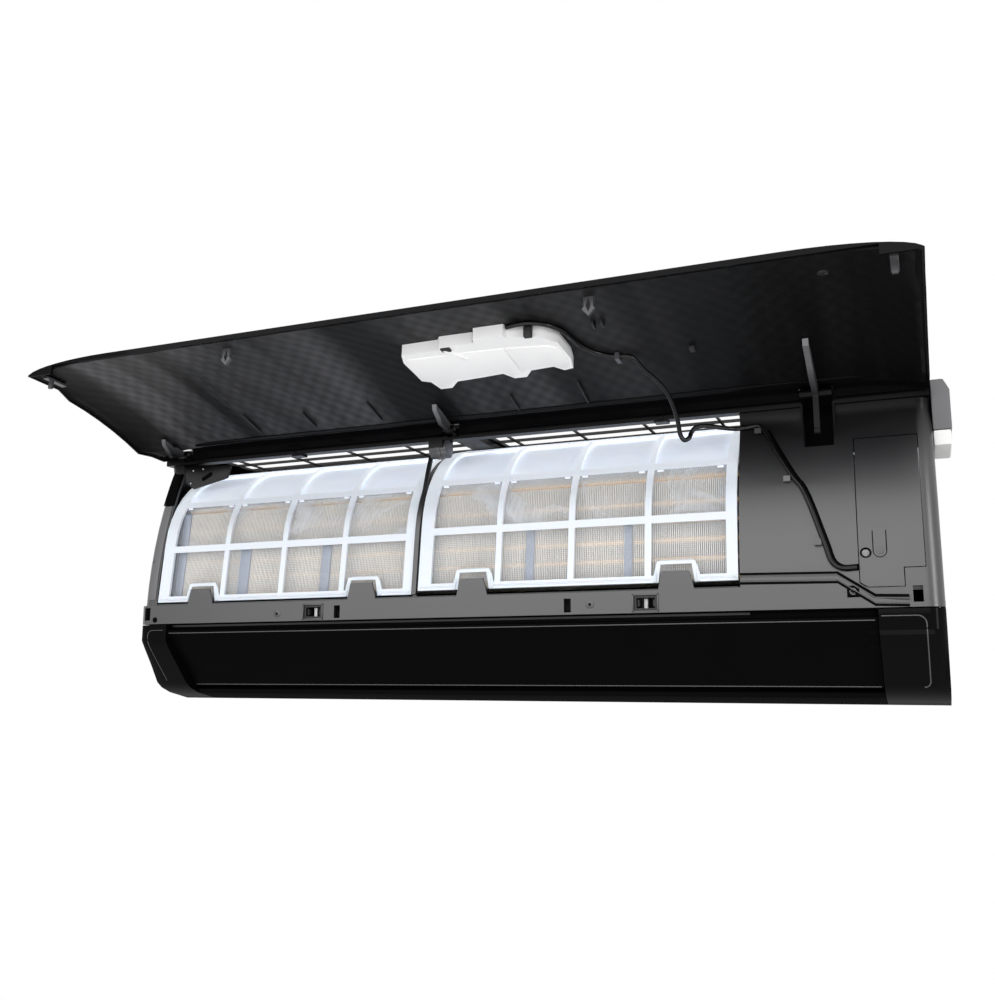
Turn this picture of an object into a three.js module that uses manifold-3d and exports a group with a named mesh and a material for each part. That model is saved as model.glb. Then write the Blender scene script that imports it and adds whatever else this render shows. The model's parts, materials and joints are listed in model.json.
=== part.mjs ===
// Mini split indoor unit: wall-hung air conditioner with its front panel swung up, filters in place.
// Millimetres. X runs along the unit, -Y is the front, +Z is up, Y = 0 is the wall.
// The origin is the middle of the mounting plate's back face.
import * as THREE from 'three';
import { mergeVertices } from 'three/addons/utils/BufferGeometryUtils.js';
import Module from 'manifold-3d';

const wasm = await Module();
wasm.setup();

// ---------------------------------------------------------------- driving dimensions
const LEFT_MARGIN = 23.5;         // left wall to the left filter
const FILTER_WIDTH = 318;
const FILTER_GAP = 7.5;           // between the filters, where the divider stands
const BAY_WIDTH = 168;            // right filter to the right wall: controls, motor and pipes
const BODY_WIDTH = LEFT_MARGIN + 2 * FILTER_WIDTH + FILTER_GAP + BAY_WIDTH;
const half = BODY_WIDTH / 2;
const FILTER_LEFT_X = -half + LEFT_MARGIN;
const FILTER_RIGHT_X = FILTER_LEFT_X + FILTER_WIDTH + FILTER_GAP;
const FILTERS_END = FILTER_RIGHT_X + FILTER_WIDTH;
const TOP_Z = 144.5;
const BOTTOM_Z = -144.5;
const STRIP_FRONT = -196;         // front face of the strip below the filters
const WALL = 2.5;                 // moulded wall of the casing
const CORNER_R = 14;              // upright front corners of the frame
const FIT = 0.3;                  // gap between pieces that touch
const SLIP = 0.8;                 // gap around pieces that lift off

const FACE_FRONT = -191.5;        // foot of the curved face beside the filters
const FACE_R = 444;               // its large radius
const FACE_FOOT_Z = -60;
const FACE_TOP_Z = 114;
const STRIP_TOP_Z = -41.5;
const STRIP_BOTTOM_Z = -62;
const STRIP_STEP_Z = -30;         // the strip is taller right of the filters
const STRIP_STEP_X = FILTERS_END + 80.5;
const STRIP_LOW_X = STRIP_STEP_X + 32;
const STRIP_LOW_Z = -54;

const BEAM_FRONT = -163;
const BEAM_BACK = -151;
const BEAM_BOTTOM_Z = 125;
const DIVIDER_TOP_Z = 121;
const BEAM_TOP_Z = 136;

const FILTER_FOOT = [-191.5, -38];
const FILTER_KNEE = [-184, 28];   // where the straight part becomes the arc
const FILTER_R = 108;
const FILTER_END_SLOPE = 15;      // degrees, where the arc ends
const FILTER_TAIL = 38;           // straight part behind the arc
const FILTER_THICK = 3;
const FILTER_RAIL = 14;
const FILTER_BAR = 6;
const FILTER_LIFT = 3.5;          // the right filter stands a little proud of its seat
const NET_THICK = 0.6;
const FILTER_TAB_WIDTH = 34;
const FILTER_TAB_HEIGHT = 17;
const FILTER_TAB_X = [44, 246];   // left edges of the finger notches, from the filter's left edge

const GRILLE_PITCH = 30;
const GRILLE_BAR = 2.4;
const GRILLE_HEIGHT = 3;
const GRILLE_RIB_PITCH = 77;
const GRILLE_BACK = -13;

const PIVOT = [-172, 134];        // panel hinge, y and z
const OPEN_ANGLE = 95;            // how far the panel is swung up
const PANEL_TOP_Z = 139;
const PANEL_BOTTOM_Z = -70;
const PANEL_FRONT = -211.5;       // bottom edge of the crowned front
const PANEL_TOP_FRONT = -181;
const PANEL_CROWN = 8;            // bulge of the crown over its chord
const PANEL_END = 97;             // length of the swept end
const PANEL_SKIN = 2.2;
const CARRIER_THICK = 2.6;
const LIP_GAP = 2;                // panel lip to frame when shut
const TOP_FLANGE_BACK = -168;

const ARM_X = [-half + 33.5, FILTER_RIGHT_X + 24.5, half - 95.5];
const ARM_THICK = 5;
const ARM_FOOT_Z = [96, 96, 58];    // how far down the shut panel each arm reaches
const PIN_R = 2;
const EAR_R = 4.4;
const EAR_THICK = 3;
const RECESS_X = [half - 108.5, half - 82.5];
const RECESS_Z = [86, 141.5];
const TAIL_LENGTH = 34;

const LATCH_X = [FILTER_LEFT_X + 206, FILTER_RIGHT_X + 234.5];
const LATCH_Z = -53;
const END_HOOK_X = [-half + 13.5, half - 20.5];

const LOUVRE_X = [-half + 41.5, half - 53.5];
const LOUVRE_TOP = [-196, -70.5];
const LOUVRE_BOTTOM = [-142, -130];
const LOUVRE_THICK = 4;
const LOUVRE_PIVOT_ALONG = 54;    // from the top edge to the pivot
const LOUVRE_PIVOT_BEHIND = 8;
const LOUVRE_PIN_R = 3;

const FAN = [-95, -15];           // fan axis, y and z
const FAN_R = 46;
const FAN_X = [-half + 45.5, FILTERS_END - 5.5];
const FAN_BLADES = 20;
const FAN_DISCS = 3;
const SHAFT_R = 4;
const SCROLL_R = 54;
const BEARING_R = 11;

const SLAB_THICK = 26;
const SLAB_X = [-half + 39.5, FILTERS_END + 0.5];
const SLABS = {
  evaporator_lower: [[-166, -34], [-155.6, 56.5]],
  evaporator_upper: [[-144.5, 69], [-96, 105]],
  evaporator_rear: [[-71, 107], [-34, 44]],
};
const FIN_CELLS = 12;
const FIN_RIB = 8;
const FIN_SKIN = 4;
const END_PLATE = 1.2;
const TUBE_R = 3.5;

const VANES = 7;
const VANE_THICK = 1.6;
const VANE_ORIGIN = [-106, -98.8];

const PLATE_WIDTH = 560;
const PLATE_HEIGHT = 190;
const PLATE_THICK = 1.5;
const PLATE_HOOK_X = [-220, 180];
const HOOK_WIDTH = 16;
const DUCT_X = [-half + 21.5, FILTERS_END + 8.5];
const BUTTON_X = [half - 53.5, half - 43.5];
const BUTTON_Z = [-19, 5];
const SIDE_Y = [-150, -84];       // pipe cover on the right side
const TUB_X = [half - 117.5, half - 11.5];
const TUB_DEPTH = 23;
const TUB_Z = [-44, 78];
const CARRIER_TOP_Z = 129;
const DISPLAY_WALL = 1.6;
const DISPLAY_DEEP = 11;
const BEND_REACH = 9;
const MOTOR_R = 37;
const FAR = 500;                  // well beyond the unit, for cutting tools

const LEAD_D = 4.4;

// ---------------------------------------------------------------- finishes
const finish = (color, roughness, metalness = 0) =>
  new THREE.MeshStandardMaterial({ color, roughness, metalness });
const glossBlack = finish(0x0b0b0c, 0.15);
const satinBlack = finish(0x232325, 0.4);
const mattBlack = finish(0x111112, 0.6);
const darkGrey = finish(0x4a4a4c, 0.5);
const lightGrey = finish(0xcfcfcf, 0.8);
const white = finish(0xf3f3f3, 0.45);
const filterWhite = finish(0xeef3fa, 0.4);
const netGrey = finish(0xc9ccd4, 0.7);
const fins = finish(0xc8c2b6, 0.35, 0.8);
const copper = finish(0xb8734a, 0.3, 0.9);
const steel = finish(0xa9abad, 0.4, 0.8);
const boardGreen = finish(0x2e5d3a, 0.5);
const rubber = finish(0x1c1c1c, 0.9);
const foamWhite = finish(0xe8e8e6, 0.9);

// ---------------------------------------------------------------- solids
function toSolid(geometry) {
  const bare = geometry.index ? geometry.toNonIndexed() : geometry.clone();
  bare.deleteAttribute('normal');
  bare.deleteAttribute('uv');
  const merged = mergeVertices(bare, 1e-4);
  return new wasm.Manifold(new wasm.Mesh({
    numProp: 3,
    vertProperties: new Float32Array(merged.attributes.position.array),
    triVerts: new Uint32Array(merged.index.array),
  }));
}

function toGeometry(solid) {
  const mesh = solid.getMesh();
  const geometry = new THREE.BufferGeometry();
  const corners = new Float32Array(mesh.vertProperties);
  geometry.setAttribute('position', new THREE.BufferAttribute(corners, 3));
  geometry.setIndex(new THREE.BufferAttribute(new Uint32Array(mesh.triVerts), 1));
  geometry.computeVertexNormals();
  return geometry;
}

const join = (first, ...rest) => rest.reduce((sum, piece) => sum.add(piece), first);
const cut = (first, ...rest) => rest.reduce((left, piece) => left.subtract(piece), first);

function block(x, y, z) {
  const geometry = new THREE.BoxGeometry(x[1] - x[0], y[1] - y[0], z[1] - z[0]);
  return toSolid(geometry.translate((x[0] + x[1]) / 2, (y[0] + y[1]) / 2, (z[0] + z[1]) / 2));
}

function outline(points) {
  return new THREE.Shape(points.map(([a, b]) => new THREE.Vector2(a, b)));
}

// A y-z outline drawn out along X, an x-z outline along Y, an x-y outline along Z.
function prismX(points, [x0, x1]) {
  const geometry = new THREE.ExtrudeGeometry(outline(points), { depth: x1 - x0, bevelEnabled: false });
  const turn = new THREE.Matrix4().set(0, 0, 1, x0, 1, 0, 0, 0, 0, 1, 0, 0, 0, 0, 0, 1);
  return toSolid(geometry.applyMatrix4(turn));
}

function prismY(points, [y0, y1]) {
  const geometry = new THREE.ExtrudeGeometry(outline(points), { depth: y1 - y0, bevelEnabled: false });
  const turn = new THREE.Matrix4().set(1, 0, 0, 0, 0, 0, -1, y1, 0, 1, 0, 0, 0, 0, 0, 1);
  return toSolid(geometry.applyMatrix4(turn));
}

function prismZ(points, [z0, z1]) {
  const geometry = new THREE.ExtrudeGeometry(outline(points), { depth: z1 - z0, bevelEnabled: false });
  return toSolid(geometry.translate(0, 0, z0));
}

function rod(axis, radius, [from, to], [a, b], sides = 20) {
  const geometry = new THREE.CylinderGeometry(radius, radius, to - from, sides);
  const middle = (from + to) / 2;
  if (axis === 'x') geometry.rotateZ(Math.PI / 2).translate(middle, a, b);
  if (axis === 'y') geometry.translate(a, middle, b);
  if (axis === 'z') geometry.rotateX(Math.PI / 2).translate(a, b, middle);
  return toSolid(geometry);
}

// A closed solid through y-z sections set along X, all with the same count of points.
function loftX(stations, section) {
  const rings = stations.map((x) => section(x).map(([y, z]) => [x, y, z]));
  const count = rings[0].length;
  const last = (rings.length - 1) * count;
  const faces = [];
  for (let ring = 0; ring < last; ring += count) {
    for (let j = 0; j < count; j++) {
      const [a, b] = [ring + j, ring + ((j + 1) % count)];
      faces.push([a, b, a + count], [b, b + count, a + count]);
    }
  }
  for (const [base, ring] of [[0, rings[0]], [last, rings[rings.length - 1]]]) {
    const flat = ring.map(([, y, z]) => new THREE.Vector2(y, z));
    const turn = Math.sign(THREE.ShapeUtils.area(flat));
    for (const [a, b, c] of THREE.ShapeUtils.triangulateShape(flat, [])) {
      const same = Math.sign(THREE.ShapeUtils.area([flat[a], flat[b], flat[c]])) === turn;
      faces.push(same === (base > 0) ? [base + a, base + b, base + c] : [base + a, base + c, base + b]);
    }
  }
  const corners = rings.flat().map((corner) => new THREE.Vector3(...corner));
  const volume = faces.reduce((sum, [a, b, c]) =>
    sum + corners[a].dot(corners[b].clone().cross(corners[c])), 0);
  const geometry = new THREE.BufferGeometry().setFromPoints(corners);
  geometry.setIndex((volume < 0 ? faces.map(([a, b, c]) => [a, c, b]) : faces).flat());
  return toSolid(geometry);
}

const root = new THREE.Group();
root.name = 'mini_split_indoor_unit';

function part(name, solid, material, parent = root) {
  const mesh = new THREE.Mesh(toGeometry(solid), material);
  mesh.name = name;
  parent.add(mesh);
  return mesh;
}

// ---------------------------------------------------------------- curves
const radians = (degrees) => (degrees * Math.PI) / 180;

function arc([y, z], radius, from, to, steps) {
  return Array.from({ length: steps + 1 }, (_, i) => {
    const angle = radians(from + ((to - from) * i) / steps);
    return [y + radius * Math.cos(angle), z + radius * Math.sin(angle)];
  });
}

// Distance that a rounded upright corner falls back at x.
function cornerDrop(x, radius = CORNER_R, half = BODY_WIDTH / 2) {
  const past = Math.max(0, Math.abs(x) - (half - radius));
  return radius - Math.sqrt(Math.max(0, radius * radius - past * past));
}

function cornerStations(from, to, radius = CORNER_R, half = BODY_WIDTH / 2, steps = 5) {
  const marks = Array.from({ length: steps + 1 }, (_, i) =>
    half - radius + radius * Math.sin(radians((i * 84) / steps)));
  const all = [from, to, half, -half, ...marks, ...marks.map((x) => -x)];
  return [...new Set(all)].filter((x) => x >= from && x <= to).sort((a, b) => a - b);
}

// A strip of wall on one side of a y-z path.
function ribbon(path, thick) {
  const far = path.map((point, i) => {
    const before = path[Math.max(0, i - 1)];
    const after = path[Math.min(path.length - 1, i + 1)];
    const [a, b] = [after[0] - before[0], after[1] - before[1]];
    const size = Math.hypot(a, b) / thick;
    return [point[0] - b / size, point[1] + a / size];
  });
  return [...path, ...far.reverse()];
}

function tube(points, diameter, sides, steps) {
  const path = new THREE.CatmullRomCurve3(points.map((p) => new THREE.Vector3(...p)));
  const ring = arc([0, 0], diameter / 2, 0, 360 - 360 / sides, sides - 1);
  return toSolid(new THREE.ExtrudeGeometry(outline(ring), { extrudePath: path, steps, curveSegments: sides }));
}

const faceY = (z) => FACE_FRONT + FACE_R - Math.sqrt(FACE_R ** 2 - (z - FACE_FOOT_Z) ** 2);
const spread = (from, to, steps) =>
  Array.from({ length: steps + 1 }, (_, i) => from + ((to - from) * i) / steps);

// ---------------------------------------------------------------- front frame
function bodyOutline(drop, inset) {
  const front = spread(FACE_TOP_Z, STRIP_BOTTOM_Z - FIT, 8).map((z) => [faceY(z) + drop + inset, z]);
  const crest = BEAM_FRONT + 3 + drop + inset;
  return [
    [-WALL, TOP_Z - inset],
    [crest + 8, TOP_Z - inset],
    [crest + 2, TOP_Z - 3 - inset],
    [crest, TOP_Z - 9 - inset],
    ...front,
    [-60, STRIP_BOTTOM_Z - FIT],
    [-WALL, STRIP_BOTTOM_Z - FIT],
  ];
}

function louvreEndOutline(drop) {
  const nose = STRIP_FRONT + drop;
  return [
    [nose, STRIP_BOTTOM_Z - SLIP - FIT],
    [nose, -80],
    [nose + 5, -88],
    [LOUVRE_BOTTOM[0] - 16, -126],
    [LOUVRE_BOTTOM[0] - 8, -132],
    [LOUVRE_BOTTOM[0] + 6, -137.5],
    [-104, BOTTOM_Z],
    [-WALL - FIT, BOTTOM_Z],
    [-WALL - FIT, STRIP_BOTTOM_Z - SLIP - FIT],
  ];
}

const frameShell = cut(
  loftX(cornerStations(-half, half), (x) => bodyOutline(cornerDrop(x), 0)),
  loftX(cornerStations(-half + WALL, half - WALL, CORNER_R - WALL, half - WALL), (x) => {
    const ring = bodyOutline(cornerDrop(x, CORNER_R - WALL, half - WALL), WALL);
    return ring.map(([y, z]) => [y === -WALL ? 5 : y, z < STRIP_BOTTOM_Z ? z - 5 : z]);
  }),
);

const stripOutline = [
  [-half, STRIP_BOTTOM_Z],
  [half, STRIP_BOTTOM_Z],
  [half, STRIP_LOW_Z - 3],
  [STRIP_LOW_X + 30, STRIP_LOW_Z - 3],
  [STRIP_LOW_X, STRIP_LOW_Z],
  [STRIP_STEP_X, STRIP_STEP_Z],
  [FILTERS_END + 3, STRIP_STEP_Z],
  [FILTERS_END + 3, STRIP_TOP_Z],
  [-half, STRIP_TOP_Z],
];
const strip = loftX(cornerStations(-half, half), (x) => {
  const front = STRIP_FRONT + cornerDrop(x);
  const back = FACE_FRONT + WALL + cornerDrop(x);
  return [[front, STRIP_BOTTOM_Z], [front, STRIP_STEP_Z], [back, STRIP_STEP_Z], [back, STRIP_BOTTOM_Z]];
}).intersect(prismY(stripOutline, [-220, -100]));

const filterOpening = (x) => [x - 1.5, x + FILTER_WIDTH + 1.5];
const grilleX = [
  [FILTER_LEFT_X, FILTER_RIGHT_X + 6.5], [FILTER_RIGHT_X + 32.5, FILTERS_END + 4.5],
];

const wiringCoverOutline = [
  [65.5, -40], [65.5, 90], [13.5, 90], [13.5, -28], [30.5, -28], [30.5, -44], [59.5, -44],
].map(([fromEnd, z]) => [half - fromEnd, z]);
const grow = (points, by) => {
  const middle = [0, 1].map((k) => points.reduce((sum, p) => sum + p[k], 0) / points.length);
  return points.map((p) => p.map((v, k) => v + Math.sign(v - middle[k]) * by));
};

const ear = (x) => join(
  rod('x', EAR_R, x, PIVOT, 16),
  prismX([
    [PIVOT[0], PIVOT[1] - EAR_R], [PIVOT[0] + 1, PIVOT[1] + EAR_R - 2.4],
    [BEAM_FRONT + 2, BEAM_TOP_Z - 1], [BEAM_FRONT + 2, BEAM_BOTTOM_Z + 2],
  ], x),
);
// The right arm's ears reach across to the walls of its recess.
const ears = ARM_X.flatMap((x, i) => {
  const side = ARM_THICK / 2 + FIT;
  const reach = i === 2 ? RECESS_X.map((wall) => Math.abs(wall - x) + 1) : [side + EAR_THICK, side + EAR_THICK];
  return [ear([x + side, x + reach[1]]), ear([x - reach[0], x - side])];
});
const earHoles = ARM_X.map((x) => rod('x', PIN_R + FIT, [x - 12, x + 12], PIVOT, 16));

const recess = block(RECESS_X, [-180, -132], RECESS_Z);
const recessBox = cut(
  block([RECESS_X[0] - 2, RECESS_X[1] + 2], [-162, -130], [RECESS_Z[0] - 2, TOP_Z - WALL + 0.5]),
  block(RECESS_X, [-200, -132], [RECESS_Z[0], TOP_Z - WALL]),
);

const latchOpenings = LATCH_X.map((x) => block([x - 11, x + 11], [-200, -180], [LATCH_Z - 7, LATCH_Z + 7]));
const endOpenings = END_HOOK_X.map((x) => block([x - 4, x + 4], [-200, -180], [LATCH_Z - 5, LATCH_Z + 9]));
const stripSlots = [FILTER_LEFT_X + 235, FILTER_RIGHT_X + 159.5].map((x) =>
  block([x - 3.5, x + 3.5], [-200, -180], [LATCH_Z - 7, LATCH_Z + 6]));

const divider = prismX([
  ...filterPath(0).map(([y, z]) => [y - 2, z]).filter(([, z]) => z < DIVIDER_TOP_Z - 4),
  [-140, DIVIDER_TOP_Z - 1], [-128, DIVIDER_TOP_Z - 1],
  ...filterPath(0).map(([y, z]) => [y + 4, z - 2]).filter(([, z]) => z < DIVIDER_TOP_Z - 6).reverse(),
], [FILTER_LEFT_X + FILTER_WIDTH + 1.5, FILTER_RIGHT_X - 1.5]);

const beam = block([-half + 1, half - 1], [BEAM_FRONT, BEAM_BACK], [BEAM_BOTTOM_Z, BEAM_TOP_Z]);
const headX = [FILTER_RIGHT_X + 2.5, FILTER_RIGHT_X + 18.5];
const dividerHead = join(
  block(headX, [-176, -150], [DIVIDER_TOP_Z - 6, DIVIDER_TOP_Z + 2]),
  block(headX, [BEAM_FRONT, -150], [DIVIDER_TOP_Z, BEAM_BOTTOM_Z + 2]),
);
const crossBar = block([grilleX[0][1], grilleX[1][0]], [-153, -5 - FIT], [DIVIDER_TOP_Z + 13, TOP_Z]);
const filterTabs = [
  ...FILTER_TAB_X.map((x) => FILTER_LEFT_X + x),
  ...FILTER_TAB_X.map((x) => FILTER_RIGHT_X + x),
].map((x) => prismY([
  [x, STRIP_TOP_Z - 2], [x + FILTER_TAB_WIDTH, STRIP_TOP_Z - 2],
  [x + FILTER_TAB_WIDTH - 5, STRIP_TOP_Z + FILTER_TAB_HEIGHT], [x + 4, STRIP_TOP_Z + FILTER_TAB_HEIGHT],
], [-195.5, -193.5]));

// Where the lead runs down the face it lies in a shallow channel.
const LEAD_ON_FRAME = [
  [160.5, 110.5], [148.5, 111], [142.5, 104], [133.5, 86], [118.5, 58], [110.5, 46], [93.5, -4], [87.5, -22],
  [80.5, -27], [67.5, -27],
].map(([fromEnd, z]) => [half - fromEnd, z]);
const faceLead = ([x, z]) => [x, faceY(z) - LEAD_D / 2 - 0.5, z];
const leadTube = (points, extra) => tube(points, LEAD_D + extra, 8, points.length * 2);
const leadClips = [[half - 149.5, 106], [half - 123.5, 56], [half - 98.5, -4]].map(([x, z]) =>
  cut(block([x - 3, x + 3], [faceY(z) - 4, faceY(z) + 1], [z - 2.5, z + 2.5]),
    leadTube(LEAD_ON_FRAME.map(faceLead), 0.6)));

const SCREW_HEAD_R = 3.4;
const screwPlaces = {
  screw_strip_right: [half - 71.5, STRIP_FRONT, -48],
  screw_end_strip: [-half + 12, faceY(8), 8],
  screw_wiring_cover: [half - 60, faceY(-15), -15],
  screw_beam_left: [FILTER_LEFT_X + 158, BEAM_FRONT, 128.5],
  screw_beam_right: [FILTER_RIGHT_X + 245, BEAM_FRONT, 128.5],
};
const screwPocket = ([x, y, z]) => join(
  rod('y', SCREW_HEAD_R + 0.4, [y - 3, y + 1.2], [x, z], 12),
  rod('y', 1.9, [y - 3, y + 12], [x, z], 8),
);

const screwLugs = [screwPlaces.screw_beam_left, screwPlaces.screw_beam_right].map(([x, , z]) =>
  block([x - 6.5, x + 6.5], [BEAM_FRONT, BEAM_BACK], [z - 5.5, BEAM_TOP_Z]));

const frontFrame = join(
  cut(
    frameShell,
    block(filterOpening(FILTER_LEFT_X), [-210, WALL], [STRIP_TOP_Z, BEAM_BOTTOM_Z + 6]),
    block(filterOpening(FILTER_RIGHT_X), [-210, WALL], [STRIP_TOP_Z, BEAM_BOTTOM_Z + 6]),
    ...grilleX.map((x) => block(x, [BEAM_BACK, GRILLE_BACK], [100, 160])),
    block([-half + 30, half - 30], [-170, BEAM_BACK - 6], [TOP_Z - 7, 160]),
    block([-FAR, FAR], [BEAM_FRONT - 1, BEAM_FRONT + 1.5], [PIVOT[1] - 6, TOP_Z + 15.5]),
    recess,
  ),
  cut(beam, recess),
  dividerHead, crossBar, divider, recessBox, ...screwLugs, ...leadClips, ...ears, strip, ...filterTabs,
);
const wiringHole = prismY(grow(wiringCoverOutline, SLIP), [-200, -150]);
part('front_frame', cut(
  frontFrame, ...earHoles, ...latchOpenings, ...endOpenings, ...stripSlots, wiringHole,
  ...Object.values(screwPlaces).map(screwPocket),
  block([-FAR, FAR], [-FAR, FAR], [-FAR, STRIP_BOTTOM_Z]),
), satinBlack);

// ---------------------------------------------------------------- filter curve
// Front surface of a filter from its foot to its tail; 'off' moves it back into the unit.
function filterPath(off) {
  const lean = Math.atan2(FILTER_KNEE[0] - FILTER_FOOT[0], FILTER_KNEE[1] - FILTER_FOOT[1]);
  const start = 180 - (lean * 180) / Math.PI;
  const centre = [
    FILTER_KNEE[0] + FILTER_R * Math.cos(lean),
    FILTER_KNEE[1] - FILTER_R * Math.sin(lean),
  ];
  const end = 90 + FILTER_END_SLOPE;
  const curve = arc(centre, FILTER_R - off, start, end, 8);
  const slope = radians(FILTER_END_SLOPE);
  const last = curve[curve.length - 1];
  const foot = [FILTER_FOOT[0] + off * Math.cos(lean), FILTER_FOOT[1] - off * Math.sin(lean)];
  return [foot, ...curve, [last[0] + FILTER_TAIL * Math.cos(slope), last[1] + FILTER_TAIL * Math.sin(slope)]];
}

const filterNotches = (x0) => FILTER_TAB_X.map((left) => prismY([
  [x0 + left - 2.5, -60], [x0 + left + FILTER_TAB_WIDTH + 2.5, -60],
  [x0 + left + FILTER_TAB_WIDTH - 3, STRIP_TOP_Z + FILTER_TAB_HEIGHT + 3],
  [x0 + left + 2, STRIP_TOP_Z + FILTER_TAB_HEIGHT + 3],
], [-210, -180]));

function filterFrame(x0) {
  const frontPath = filterPath(0);
  const backPath = filterPath(FILTER_THICK);
  const sheet = prismX([...frontPath, ...[...backPath].reverse()], [x0, x0 + FILTER_WIDTH]);
  const inner = FILTER_WIDTH - FILTER_RAIL - FILTER_RAIL / 2 - 3;
  const pitch = (inner + FILTER_BAR) / 4;
  const rows = [[-31.5, 18], [25.3, 72], [78.5, 117.6]];
  const windows = [];
  for (let column = 0; column < 4; column++) {
    const left = x0 + FILTER_RAIL + column * pitch;
    const x = [left, left + pitch - FILTER_BAR];
    for (const [low, high] of rows) windows.push(block(x, [-210, -84], [low, high]));
    windows.push(block(x, [-97, -74], [100, 140]));
  }
  const arches = FILTER_TAB_X.map((left) => prismY([
    [x0 + left - 6, -37], [x0 + left + FILTER_TAB_WIDTH + 6, -37],
    [x0 + left + FILTER_TAB_WIDTH, STRIP_TOP_Z + FILTER_TAB_HEIGHT + 6],
    [x0 + left - 1, STRIP_TOP_Z + FILTER_TAB_HEIGHT + 6],
  ], [-191.4, -188.6]));
  return cut(join(cut(sheet, ...windows), ...arches), ...filterNotches(x0));
}

function filterNet(x0) {
  const near = filterPath(FILTER_THICK + FIT);
  const far = filterPath(FILTER_THICK + FIT + NET_THICK);
  const sheet = prismX([...near, ...far.reverse()], [x0 + 3, x0 + FILTER_WIDTH - 3]);
  return cut(sheet, ...filterNotches(x0));
}

for (const [side, x0, lift] of [['left', FILTER_LEFT_X, 0], ['right', FILTER_RIGHT_X, FILTER_LIFT]]) {
  const group = new THREE.Group();
  group.position.z = lift;
  root.add(group);
  part(`filter_frame_${side}`, filterFrame(x0), filterWhite, group);
  part(`filter_net_${side}`, filterNet(x0), netGrey, group);
}

// ---------------------------------------------------------------- top grille
function grille([x0, x1]) {
  const z = [TOP_Z - GRILLE_HEIGHT, TOP_Z];
  const y = [BEAM_BACK + FIT + 0.3, GRILLE_BACK - FIT];
  const rim = cut(block([x0 + FIT, x1 - FIT], y, z), block([x0 + 3, x1 - 3], [y[0] + 3, y[1] - 3], [0, 200]));
  const bars = [];
  for (let at = y[0] + GRILLE_PITCH; at < y[1] - 4; at += GRILLE_PITCH) {
    bars.push(block([x0 + 1, x1 - 1], [at, at + GRILLE_BAR], z));
  }
  for (let at = x0 + 20; at < x1 - 8; at += GRILLE_RIB_PITCH) {
    bars.push(block([at, at + GRILLE_BAR], [y[0] + 1, y[1] - 1], [z[0] + 0.5, z[1] - 0.5]));
  }
  return join(rim, ...bars);
}
part('top_grille_left', grille(grilleX[0]), satinBlack);
part('top_grille_right', grille(grilleX[1]), satinBlack);

// ---------------------------------------------------------------- wiring cover and its button
const tabHole = block(
  [BUTTON_X[0] - SLIP, BUTTON_X[1] + SLIP], [-200, -150], [BUTTON_Z[0] - SLIP, BUTTON_Z[1] + SLIP]);
const buttonAt = [(BUTTON_X[0] + BUTTON_X[1]) / 2, BUTTON_Z[0] + 6];
const buttonY = faceY(buttonAt[1]);
function screw([x, y, z]) {
  const head = join(
    rod('y', SCREW_HEAD_R, [y - 0.9, y + 0.9], [x, z], 12),
    rod('y', 1.5, [y + 0.5, y + 9], [x, z], 8),
  );
  const slot = (w, h) => block([x - w, x + w], [y - 2, y - 0.2], [z - h, z + h]);
  return cut(head, slot(2, 0.45), slot(0.45, 2));
}
for (const [name, place] of Object.entries(screwPlaces)) part(name, screw(place), steel);

const coverPlate = frameShell.intersect(prismY(wiringCoverOutline, [-200, -150]));
part('wiring_cover', cut(coverPlate, tabHole, screwPocket(screwPlaces.screw_wiring_cover)), satinBlack);
part('manual_button', join(
  frameShell.intersect(block(BUTTON_X, [-200, -150], BUTTON_Z)),
  rod('y', 3.2, [buttonY - 1, buttonY + 2], buttonAt, 16),
  rod('y', 2, [buttonY + 1, buttonY + 8], buttonAt, 12),
), satinBlack);

// ---------------------------------------------------------------- latch catches
for (const [side, x] of [['left', LATCH_X[0]], ['right', LATCH_X[1]]]) {
  const body = block([x - 10.6, x + 10.6], [STRIP_FRONT + 0.6, -181], [LATCH_Z - 6.6, LATCH_Z + 6.6]);
  const mouth = block([x - 8.6, x + 8.6], [-200, -183], [LATCH_Z - 4.8, LATCH_Z + 4.8]);
  const jaws = [-8, 6.4].map((dx) => block([x + dx, x + dx + 1.6], [-193, -182], [LATCH_Z - 3, LATCH_Z + 3]));
  part(`latch_catch_${side}`, join(cut(body, mouth), ...jaws), mattBlack);
}

// ---------------------------------------------------------------- front panel, drawn shut
const panelSwing = new THREE.Group();
panelSwing.position.set(0, PIVOT[0], PIVOT[1]);
panelSwing.rotation.x = radians(-OPEN_ANGLE);
const panel = new THREE.Group();
panel.position.set(0, -PIVOT[0], -PIVOT[1]);
panelSwing.add(panel);
root.add(panelSwing);

const panelMid = (PANEL_TOP_Z + PANEL_BOTTOM_Z) / 2;
const panelReach = (PANEL_TOP_Z - PANEL_BOTTOM_Z) / 2;
function panelFront(z) {
  const t = (panelMid - z) / panelReach;
  const chord = (PANEL_TOP_FRONT + PANEL_FRONT) / 2 + (t * (PANEL_FRONT - PANEL_TOP_FRONT)) / 2;
  return chord - PANEL_CROWN * (1 - t * t);
}
function panelLip(z) {
  if (z > FACE_TOP_Z) return Math.max(TOP_FLANGE_BACK, faceY(FACE_TOP_Z) - LIP_GAP - (z - FACE_TOP_Z) * 3);
  if (z > -22) return faceY(z) - LIP_GAP;
  return Math.max(STRIP_FRONT - LIP_GAP, faceY(z) - LIP_GAP + (z + 22) * 0.7);
}
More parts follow.
